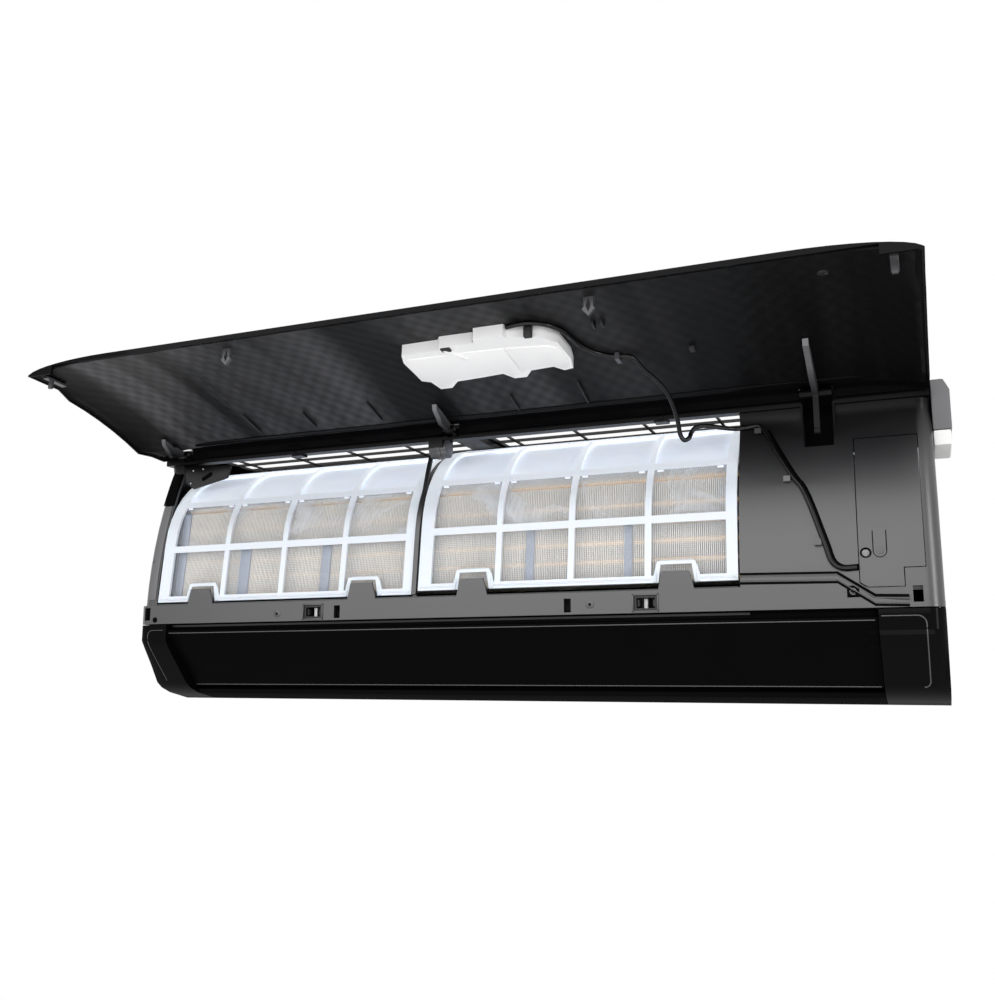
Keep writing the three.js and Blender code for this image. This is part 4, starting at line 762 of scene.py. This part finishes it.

# %% [markdown]
# The points of the lead are chosen along the photograph: (x, z) on the shut panel and on the face, and (x, y,
# z) for the free loop. Its first third swings with the panel, so that it lies between panel and face when the
# panel is shut.

# %% The three stretches of the lead
ON_PANEL = [(82.6, -24.6), (92, -26.5), (104, -26.5), (117, -20), (127, -6), (131, 10), (135, 24), (144, 38),
            (155, 46), (167, 49)]
ON_FRAME = [(257, 110.5), (269, 111), (275, 104), (284, 86), (299, 58), (307, 46), (324, -4), (330, -22),
            (337, -27), (350, -27)]
OFF_PANEL, OFF_FACE = 7.8, 2.7
panel_path = [(SWING @ mm((x, panel_front(z) + OFF_PANEL, z))) / MM for x, z in ON_PANEL]
frame_path = [Vector((x, face_y(z) - OFF_FACE, z)) for x, z in ON_FRAME]
GAP = Vector((0.4, 0, 0))  # between the free loop and the stretches that are held
leave, enter, slack_from = panel_path[-1] + GAP, frame_path[0], Vector((193.5, -216, 140))
loop_path = smooth_path([
    leave, (173, leave.y + 2, leave.z - 1), (181, -239, 153), (188, -228, 147), slack_from, (197, -204, 131),
    (198.6, -192, 121), (198.6, -183, 112), (198.8, -177.5, 105), (201.5, -174, 100.5),
    (205.5, -171.5, 102.5), (207.5, -169.5, 108), (211, -168.5, 112.5), (218, -168, 114),
    (226, -167.5, 113), (238, -166.5, 110.5), (248, enter.y - 0.6, 110), enter - GAP,
], 5)
on_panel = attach(lead("lead_on_panel", smooth_path(panel_path)), "panel")
on_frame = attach(lead("lead_on_frame", smooth_path(frame_path)), "chassis")
loop = lead("lead_loop", loop_path)
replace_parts(on_panel, "display_lead_panel")
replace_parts(on_frame, "display_lead_frame")
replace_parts(loop, "display_lead_loop")
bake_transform(loop)

# %% [markdown]
# Down the face the lead lies in a shallow channel; a black rod, a little wider and shifted to its right and
# back, is the channel's painted shadow.

# %% Painted shadow beside the lead
CHANNEL_SHADOW_D, CHANNEL_SHADOW_SHIFT = 5.6, Vector((1.6, 2.2, 0.0))
channel_shadow_path = [p + CHANNEL_SHADOW_SHIFT for p in smooth_path(frame_path[2:], 5)]
# The black rod is the painted shadow of the channel.
channel = round_rod("lead_channel_shadow", channel_shadow_path, CHANNEL_SHADOW_D / 2, 4)
finish_piece(channel, louvre_black, angle=60)
print("channel of", len(channel_shadow_path), "points")

# %% [markdown]
# ## Details inside the panel
# The carrier has short stiffening ribs near the hinge, a grey flange along it, a few clips, a round boss
# and a raised rounded field near the right end, which is left bare. Each is an outline on the shut panel,
# pushed out by its height.

# %% Ribs, flange, clips and the bare field
RIB_HALF, RIB_RISE = 0.8, 3.2
RIBS = [(-262, 76, 110), (-192, 84, 112), (-112, 78, 112), (40, 94, 118), (112, 84, 118)]  # x, low, high
ribs = [on_carrier("rib", rectangle(x - RIB_HALF, x + RIB_HALF, low, high), RIB_RISE, rounding=0.3)
        for x, low, high in RIBS]
assemble("carrier_ribs", ribs, matt_black, body="panel")
flange_line = [(-372, 121.5), (376, 121.5), (380, 124), (380, 126.5), (-372, 126.5)]
flange = on_carrier("carrier_flange", flange_line, 1.4, rounding=0.4)
finish_piece(flange, satin_black, body="panel")
CLIPS = [  # x, z, width, height, rise
    (155, -14, 2.6, 9, 5.0), (163, -14, 2.6, 9, 5.0), (225, 49, 5, 7, 3.0),
    (17, -19, 9, 6, 13.0), (98, -24, 7, 5, 13.0), (347, -39, 3, 3, 2.0),
]
clips = [on_carrier("clip", rectangle(x, x + wide, z, z + tall), rise, rounding=0.5)
         for x, z, wide, tall, rise in CLIPS]
clips.append(on_carrier("boss", circle((346, -38), 4.2), 1.0, rounding=0.4))
assemble("carrier_clips", clips, matt_black, body="panel")
field = on_carrier("bare_field", round_corners(366, 392, -62, -40, 5), 0.7, rounding=0.3)
oval = [(379 + 8 * a, -51 + 5 * b) for a, b in circle((0, 0), 1, 32)]
inner = on_carrier("bare_oval", oval, 0.5, lift=0.7, rounding=0.2)
assemble("carrier_bare_field", [field, inner], cover_grey, body="panel", slot="gloss_black")
print("carrier details:", len(RIBS), "ribs,", len(clips), "clips")

# %% [markdown]
# ## Display box
# The white box itself comes from the CAD. On it lie a raised field in two halves with a seam between, a
# gusset by its screw ear, and a black spring clip under each of its three feet. The halves are bodies of
# their own, because a seam that is only bump would vanish at this flat angle.

# %% Fields, gusset, ear and clips of the display box
BOX_TOP = 11.3
FIELDS = [
    [(-26, 0), (-22, -6), (39, -6), (72.4, -4.6), (72.4, 40), (62, 46), (57, 36), (34, 38), (6, 40), (-6, 50),
     (-14, 50), (-17, 38), (-26, 33)],
    [(73.4, -4.6), (112, 0), (120, 8), (121, 28), (118.5, 41), (113, 42), (105, 34), (82, 36), (73.4, 40)],
]
fields = [on_carrier("field", outline, 0.9, lift=BOX_TOP, rounding=0.35) for outline in FIELDS]
GUSSET = [(18.5, -16), (21.5, -16), (34.6, 4), (33.0, 5)]
gusset = on_carrier("gusset", GUSSET, 2.4, lift=BOX_TOP, rounding=0.3)
assemble("display_fields", [*fields, gusset], display_white, body="panel")
# The ear's hole is a thin black disc: painted shade.
ear = on_carrier("display_ear_hole", circle((21, -12.5), 2.3), 0.25, lift=BOX_TOP, rounding=0.05)
feet = [on_carrier("foot_clip", rectangle(x - 3, x + 3.5, z, z + 3.6), 6.5, lift=3, rounding=0.4)
        for x, z in ((-11, 54), (67, 50), (116, 46))]
assemble("display_clips", [ear, *feet], matt_black, body="panel")
print("display box:", len(fields), "fields,", len(feet), "clips")

# %% [markdown]
# ## Filter frames
# Along the foot rail runs a bead, round each finger notch the rail rises in an arch, and small nubs hold
# the net at the top corners of the middle windows. Beads and arches are round rods sunk into the frame,
# so that only their backs show.

# %% Beads, arches and nubs
RAIL_Z, NOTCHES, NOTCH_WIDE, FRAME_WIDE = -35.2, (44, 246), 34, 318
ARCH = [(-3, -37.5), (-1.5, -24), (2.5, -18.6), (31.5, -18.6), (35.5, -24), (37, -37.5)]  # x from a notch, z
NUB_Z, NUB_SHIFTS = 70.5, (17, 74)


def foot_y(z):
    """The straight lower part of a filter's front surface, with z from the filter's own foot."""
    return FOOT[0] + (z - FOOT[1]) * (KNEE[0] - FOOT[0]) / (KNEE[1] - FOOT[1])


def filter_details(start_x, lift):
    edges = [2, *[e for n in NOTCHES for e in (n - 3, n + NOTCH_WIDE + 3)], FRAME_WIDE - 2]
    rail_y = foot_y(RAIL_Z) - 0.2
    parts = [round_rod("bead", [(start_x + x, rail_y, RAIL_Z + lift) for x in span], 0.8)
             for span in zip(edges[::2], edges[1::2])]
    for n in NOTCHES:
        parts.append(round_rod("arch", [(start_x + n + x, foot_y(z) - 0.3, z + lift) for x, z in ARCH], 1.3))
    y, z = min(filter_curve(0), key=lambda p: abs(p[1] - NUB_Z))
    for column in range(4):
        for shift in NUB_SHIFTS:
            x = start_x + BAR_PITCH * column + shift
            parts.append(block("nub", (x, y + 0.4, z + lift - 2.2), (x + 6, y + 2.6, z + lift), 0.6))
    return parts


for side, (start_x, lift) in FILTERS.items():
    parts = filter_details(start_x, lift)
    assemble(f"filter_beads_{side}", parts, filter_white, body=f"filter_{side}")
    print(side, "filter:", len(parts), "beads, arches and nubs")

# %% [markdown]
# ## Front strip
# Below the filters the strip carries two push latches, each in a raised rim with a white slider, two screw
# bosses and a round hole. Cutting small holes into the CAD's mesh would leave ragged shading round them, so
# each is a thin flat black disc instead, whose black is painted shade.

# %% Latch rims, sliders, bosses and grooves
STRIP_Y, LATCHES, LATCH_Z = -196.0, (-188.0, 166.0), -53.0
SLIDER_Y = -187.6  # just behind the tip of the hook when the panel is shut
RIM_X, RIM_Z, MOUTH_X, MOUTH_Z = 12.4, 8.3, 10.9, 6.9
RIM_BARS = [(-RIM_X, RIM_X, MOUTH_Z, RIM_Z), (-RIM_X, RIM_X, -RIM_Z, -MOUTH_Z),
            (-RIM_X, -MOUTH_X, -RIM_Z, RIM_Z), (MOUTH_X, RIM_X, -RIM_Z, RIM_Z)]
BOSSES, HOLE = ((-232, -54), (113, -53)), (-393, -57.5)


def in_latch(name, x, bar, y_range, rounding):
    """A block in the latch at x; bar is left, right, low, high from the latch's middle."""
    (left, right, low, high), (front, back) = bar, y_range
    return block(name, (x + left, front, LATCH_Z + low), (x + right, back, LATCH_Z + high), rounding)


rims, darks, sliders = [], [], []
for x in LATCHES:
    rims += [in_latch("rim", x, bar, (STRIP_Y - 0.9, STRIP_Y + 1), 0.3) for bar in RIM_BARS]
    sliders.append(in_latch("slider", x, (-3.4, 0.2, -4.5, 4.5), (SLIDER_Y, SLIDER_Y + 2.2), 0.6))
    darks.append(in_latch("plunger", x, (1.2, 6.2, -4.5, 4), (SLIDER_Y, SLIDER_Y + 2.2), 0.6))
for centre in BOSSES:
    rims.append(disc("boss", centre, 4.2, STRIP_Y - 0.35, rounding=0.25))
    darks.append(disc("hole", centre, 1.4, STRIP_Y - 0.45, 12))
darks.append(disc("hole", HOLE, 3.1, STRIP_Y - 0.3))
print(len(rims), "rims,", len(darks), "recesses")

# %% [markdown]
# The step at the right is four lines: two dark grooves, black rods that are the grooves' painted shade, each
# with a light edge beside it.

# %% Grooves, pocket and ledge
STEP = [(252, -30), (334, -31.5), (363.5, -51.5), (390, -52.5)]
LEDGE_Y, LEDGE_Z = -194.6, -41.2
for z_shift, radius, pool in ((0.0, 1.1, darks), (-2.2, 0.7, rims), (-8.2, 1.1, darks), (-6.4, 0.6, rims)):
    pool.append(round_rod("groove", [(x, STRIP_Y, z + z_shift) for x, z in STEP], radius))
# A black plate under the right screw is the painted shade of its pocket.
darks.append(block("pocket", (341, STRIP_Y - 0.3, -53), (351, STRIP_Y + 0.8, -43), 0.2))
rims.append(round_rod("ledge", [(-394, LEDGE_Y, LEDGE_Z), (250, LEDGE_Y, LEDGE_Z)], 0.9))
assemble("strip_rims", rims, satin_black)
# The black grooves, holes and pocket are painted shade in place of real recesses.
assemble("strip_recess_shade", darks, louvre_black)
assemble("latch_sliders", sliders, display_white)
print("strip finished")

# %% [markdown]
# ## Ends of the outlet
# Each end cover has a shallow rounded field, drawn by a fine ridge, and the louvre has a thin bright bead
# along its upper and lower edge. Both are thin rods along the surface, which catch the light as a moulded
# edge does.

# %% Ridges on the end covers and beads on the louvre
COVER_FRONT = [(-196, -63.1), (-196, -80), (-191, -88), (-158, -126), (-150, -132)]  # y, z
RIDGES = [
    ([(367, -69), *arc((395, -76), 7, 90, 0, 7), (402, -122), *arc((397, -123), 5, 0, -90, 6)], 0.6),
    ([(-381, -69), *arc((-396, -75), 6, 90, 180, 7), (-402, -124)], 0.4),
]
LOUVRE_TOP, LOUVRE_LOW, LOUVRE_X = Vector((0, -196, -70.5)), Vector((0, -142, -130)), (-374, 362)


def cover_y(z):
    for (y0, z0), (y1, z1) in zip(COVER_FRONT, COVER_FRONT[1:]):
        if z1 <= z <= z0:
            return y0 + (y1 - y0) * (z0 - z) / (z0 - z1)
    return COVER_FRONT[-1][0]


def ridge(outline, radius):
    dense = [(a[0] + (b[0] - a[0]) * i / 8, a[1] + (b[1] - a[1]) * i / 8)
             for a, b in zip(outline, outline[1:]) for i in range(8)]
    return round_rod("ridge", [(x, cover_y(z) - 0.1, z) for x, z in [*dense, outline[-1]]], radius)


ridges = [ridge(line, radius) for line, radius in RIDGES]
assemble("cover_ridges", ridges, satin_black, angle=60, slot="gloss_black")
beads = [round_rod("bead", [(x, *LOUVRE_TOP.lerp(LOUVRE_LOW, share)[1:]) for x in LOUVRE_X], radius)
         for share, radius in ((0.03, 0.55), (0.965, 0.45))]
assemble("louvre_beads", beads, satin_black, body="louvre_flap", angle=60)
print("ridges and beads made")

# %% [markdown]
# Black foam seals close the gaps beside the shut louvre, outside the way it swings, so that no light
# comes through. A wall right of the air duct keeps the pipes out of sight when the louvre is down. Only a
# sliver of each is seen, so blocks with rounded edges will do.

# %% Seals round the louvre
SEALS = [
    ((-376, -187, -72.5), (364, -185.4, -62)), ((354, -187, -84), (365.5, -176, -70)),
    ((354, -176, -96), (365.5, -168, -76)),
    ((255, -124.5, -139), (366, -122.5, -60)),  # the wall right of the air duct
    ((-376, -124.5, -140), (366, -122.5, -126)),
]
# Besides blocking light, the seals' black is painted shade in the gaps beside the louvre.
seals = [block("seal", low, high, 0.3) for low, high in SEALS]
assemble("louvre_seals", seals, louvre_black, slot="rubber_black")
print(len(seals), "seals")

# %% [markdown]
# ## Upper corners of the frame
# At the upper left a black block covers a lighter end strip, and a screw plate with a slot lies behind
# the filter's shoulder. Between the filters a grey hub stands under the beam. The strip and the block
# follow the face, so their outlines take its curve and are pushed sideways.

# %% Bands on the face, screw plate and hub
def face_band(name, x_range, z_range, lift, thick):
    """A plate that follows the face between two heights."""
    rows = 10
    heights = [z_range[0] + (z_range[1] - z_range[0]) * i / rows for i in range(rows + 1)]
    outline = [(x_range[0], face_y(z) - lift, z) for z in heights]
    outline += [(x_range[0], face_y(z) - lift + thick, z) for z in reversed(heights)]
    return extruded(name, outline, (x_range[1] - x_range[0], 0, 0), 0.4)


PLATE_Y, HUB, RIVETS = -158, (-165, 114.5), ((-381, 118), (-367, 119), (-384, 103))
PLATE = [(-392, 124), (-328, 121), (-333, 106), (-380, 96), (-392, 104)]
HUB_RINGS = [(9.5, (-66.5, -47)), (10.3, (-60, -53.5))]
SLOT = [*arc((-356, 112), 2.4, -60, 120, 8), *arc((-366, 107), 2.4, 120, 300, 8)]
strip = face_band("end_strip_left", (-407, -397.5), (-35, 75), 0.9, 1.4)
corner = face_band("corner_block", (-411, -396.5), (76, 118), 1.0, 1.6)
plate = extruded("screw_plate", [(x, PLATE_Y, z) for x, z in PLATE], (0, 3, 0), 0.6)
# The slot is a thin black plate: painted shade of the hole.
slot_hole = extruded("plate_slot", [(x, PLATE_Y - 0.4, z) for x, z in SLOT], (0, 1, 0))
rivets = [disc("rivet", place, 1.1, PLATE_Y - 0.6, 12, 0.3) for place in RIVETS]
# The right arm swings in a recess; a thin black sheet on its floor is painted shade.
recess_shade = block("recess_painted_shade", (306.6, -132.9, 84.6), (336.4, -132.3, 130.4))
hub = [straight_tube("hub", HUB, radius, *x_range, 32) for radius, x_range in HUB_RINGS]
finish_piece(strip, cover_grey)
finish_piece(plate, satin_black)
for piece in (corner, slot_hole, recess_shade):
    finish_piece(piece, louvre_black)
assemble("plate_rivets", rivets, zinc_steel)
assemble("divider_hub", hub, hinge_grey)
print("corner pieces made")

# %% [markdown]
# ## Button on the wiring cover
# The button is a tongue cut free on three sides. The CAD's cut is square and longer than it looks in the
# photograph, so a web joins its root, two gussets round its foot, and a dark bead draws its line, painted
# shade of the cut.

# %% Root, rounded foot and cut of the tongue
TONGUE_X, TONGUE_Z, TONGUE_R, ROOT_Z = 369.0, -13.4, 5.5, 4.2
WIRING_SCREW = (357.5, -15)


def cover_plate(outline):
    """A thin plate on the cover's face, given as (x, z)."""
    return extruded("plate", [(x, face_y(z) - 0.03, z) for x, z in outline], (0, 0.6, 0))


def foot_gusset(side):
    """The corner between the square cut and the round foot; side is -1 or 1."""
    bend = arc((TONGUE_X, TONGUE_Z), TONGUE_R, -90, -90 + 90 * side, 8)
    low, out = TONGUE_Z - TONGUE_R - 0.8, TONGUE_X + side * (TONGUE_R + 0.3)
    return cover_plate([*bend, (out, TONGUE_Z), (out, low), (TONGUE_X, low)])


root = cover_plate(rectangle(363, 375, ROOT_Z, 6.0))
assemble("tongue_root", [root, foot_gusset(-1), foot_gusset(1)], satin_black)
left, right = TONGUE_X - TONGUE_R, TONGUE_X + TONGUE_R
tongue = [(left, ROOT_Z), (left, TONGUE_Z), *arc((TONGUE_X, TONGUE_Z), TONGUE_R, 190, 350, 11),
          (right, TONGUE_Z), (right, ROOT_Z)]
# The cut's line is a black bead: painted shade of the slit.
cut_line = round_rod("tongue_cut", [(x, face_y(z) - 0.05, z) for x, z in tongue], 0.35)
ring_y = face_y(WIRING_SCREW[1]) + 0.1
rim = round_rod("screw_rim", [(x, ring_y, z) for x, z in arc(WIRING_SCREW, 4.2, 0, 360, 25)], 0.6)
assemble("tongue_cut", [cut_line, rim], louvre_black, angle=60)
print("tongue of", 2 * TONGUE_R, "mm")

# %% [markdown]
# ## Screws
# Five pan-head screws hold the frame. One is modelled: a domed head drawn up in rings, with a cross recess
# that two crossed blocks cut into it. It is then copied to each place with its own mesh.

# %% Model one screw and copy it
SCREWS = {
    "screw_strip_right": ((346, STRIP_Y, -48), "frame_satin_black"),
    "screw_end_strip": ((-405.5, face_y(8), 8), "frame_satin_black"),
    "screw_wiring_cover": ((WIRING_SCREW[0], face_y(WIRING_SCREW[1]), WIRING_SCREW[1]), "zinc_steel"),
    "screw_beam_left": ((-236, -163, 128.5), "frame_satin_black"),
    "screw_beam_right": ((176.5, -163, 128.5), "frame_satin_black"),
}
HEAD_R, ARM_WIDE, ARM_LONG, ARM_FLOOR = 3.4, 0.55, 2.0, -0.1
HEAD_RINGS = [(HEAD_R, 1.2), (HEAD_R, 0.1), (HEAD_R * 0.86, -0.5), (HEAD_R * 0.5, -0.9)]  # radius, y


def model_screw():
    select_only()
    bpy.ops.mesh.primitive_circle_add(vertices=24, radius=HEAD_R * MM, fill_type="NGON",
                                      location=mm((0, HEAD_RINGS[0][1], 0)), rotation=(math.pi / 2, 0, 0))
    head = bpy.context.object
    bpy.ops.object.transform_apply()
    bpy.ops.object.mode_set(mode="EDIT")
    bpy.ops.mesh.select_all(action="SELECT")
    for (radius, y), (next_radius, next_y) in zip(HEAD_RINGS, HEAD_RINGS[1:]):
        bpy.ops.mesh.extrude_region_move(TRANSFORM_OT_translate={"value": mm((0, next_y - y, 0))})
        share = next_radius / radius
        bpy.ops.transform.resize(value=(share, 1, share), center_override=mm((0, next_y, 0)))
    bpy.ops.mesh.select_all(action="SELECT")
    bpy.ops.mesh.normals_make_consistent(inside=False)
    bpy.ops.object.mode_set(mode="OBJECT")
    for a, b in ((ARM_WIDE, ARM_LONG), (ARM_LONG, ARM_WIDE)):
        cutting_block = block("slot", (-a, -3, -b), (a, ARM_FLOOR, b))
        modify(head, "BOOLEAN", operation="DIFFERENCE", object=cutting_block)
        bpy.data.objects.remove(cutting_block)
    return head


screw = model_screw()
for node, (place, slot) in SCREWS.items():
    copy = new_object(node + "_head", screw.data.copy())
    copy.location = mm(place)
    select_only(copy)
    bpy.ops.object.transform_apply()
    finish_piece(copy, grey_zinc if slot == "zinc_steel" else satin_black, angle=30, slot=slot)
    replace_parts(copy, node)
bpy.data.objects.remove(screw)
print(len(SCREWS), "screws")

# %% [markdown]
# ## The floor and the light
# The unit hangs in a plain white studio. The floor and the world are plain white to the camera, to mirrors
# and through clear things, so the background costs no extra light on the object.

# %% Floor and world
def light_path_share(tree):
    """1 for rays that should see plain white: from the camera, off a mirror, or through a clear thing."""
    rays = add_node(tree, "LightPath").outputs
    from_camera, mirrored, clear = (rays[f"Is {kind} Ray"] for kind in ("Camera", "Glossy", "Transmission"))
    seen = add_node(tree, "Math", [from_camera, mirrored], "Value", operation="MAXIMUM")
    return add_node(tree, "Math", [seen, clear], "Value", operation="MAXIMUM")


AMBIENT, FLOOR_SIZE, FLOOR_PLACE = 0.5, 14, (0, -2, -1.5)
WHITE = linear("#ffffff")
world = bpy.data.worlds.new("studio")
bpy.context.scene.world = world
world.use_nodes = True
sky = world.node_tree
sky.nodes.clear()
plain = add_node(sky, "Background", {"Color": WHITE, "Strength": 1.0}, 0)
soft_sky = add_node(sky, "Background", {"Color": WHITE, "Strength": AMBIENT}, 0)
add_node(sky, "OutputWorld", [add_node(sky, "MixShader", [light_path_share(sky), soft_sky, plain], 0)])

select_only()
bpy.ops.mesh.primitive_plane_add(size=FLOOR_SIZE, location=FLOOR_PLACE)
floor = bpy.context.object
floor.name = "studio_floor"
floor_paint, tree, surface, where = start_material("floor_paint", {"Roughness": 0.9})
drift = add_node(tree, "TexNoise", {"Vector": where, "Scale": 1.5, "Detail": 2.0}, "Fac")
tones = {0: drift, 6: linear("#e4e4e4"), 7: linear("#ececec")}
wire(tree, surface, {"Base Color": add_node(tree, "Mix", tones, 2, data_type="RGBA")})
glow = add_node(tree, "Emission", {"Color": WHITE, "Strength": 1.0}, 0)
both = add_node(tree, "MixShader", [light_path_share(tree), surface.outputs[0], glow], 0)
wire(tree, tree.nodes["Material Output"], {"Surface": both})
floor.data.materials.append(floor_paint)
bpy.context.scene.view_settings.view_transform = "Standard"
print("floor at", floor.location.z, "m")

# %% [markdown]
# A large soft light in front is what the satin frame mirrors, a weaker one fills from below, and a narrow
# one on the right draws the lines along the corner. Power follows from size, so that the radiance, which
# is what a mirror shows, stays as written.

# %% Studio lights
LIGHTS = {
    # name: (place, looks at, width, height, radiance)
    "front_softbox": ((-0.4, -2.6, 0.95), (-0.1, -0.2, 0.0), 3.6, 2.4, 1.6),
    "low_fill": ((0.1, -1.5, -1.25), (0.0, -0.2, 0.1), 2.4, 1.0, 1.7),
    "corner_strip": ((1.9, -1.1, 0.15), (0.42, -0.17, 0.0), 0.4, 1.6, 7.0),
}
for name, (place, target, width, height, radiance) in LIGHTS.items():
    data = bpy.data.lights.new(name, "AREA")
    data.shape, data.size, data.size_y = "RECTANGLE", width, height
    data.energy = radiance * math.pi * width * height
    lamp = new_object(name, data)
    lamp.location = place
    lamp.rotation_euler = (Vector(target) - Vector(place)).to_track_quat("-Z", "Y").to_euler()
    lamp.visible_camera = False
    print(name, round(data.energy, 1), "W")
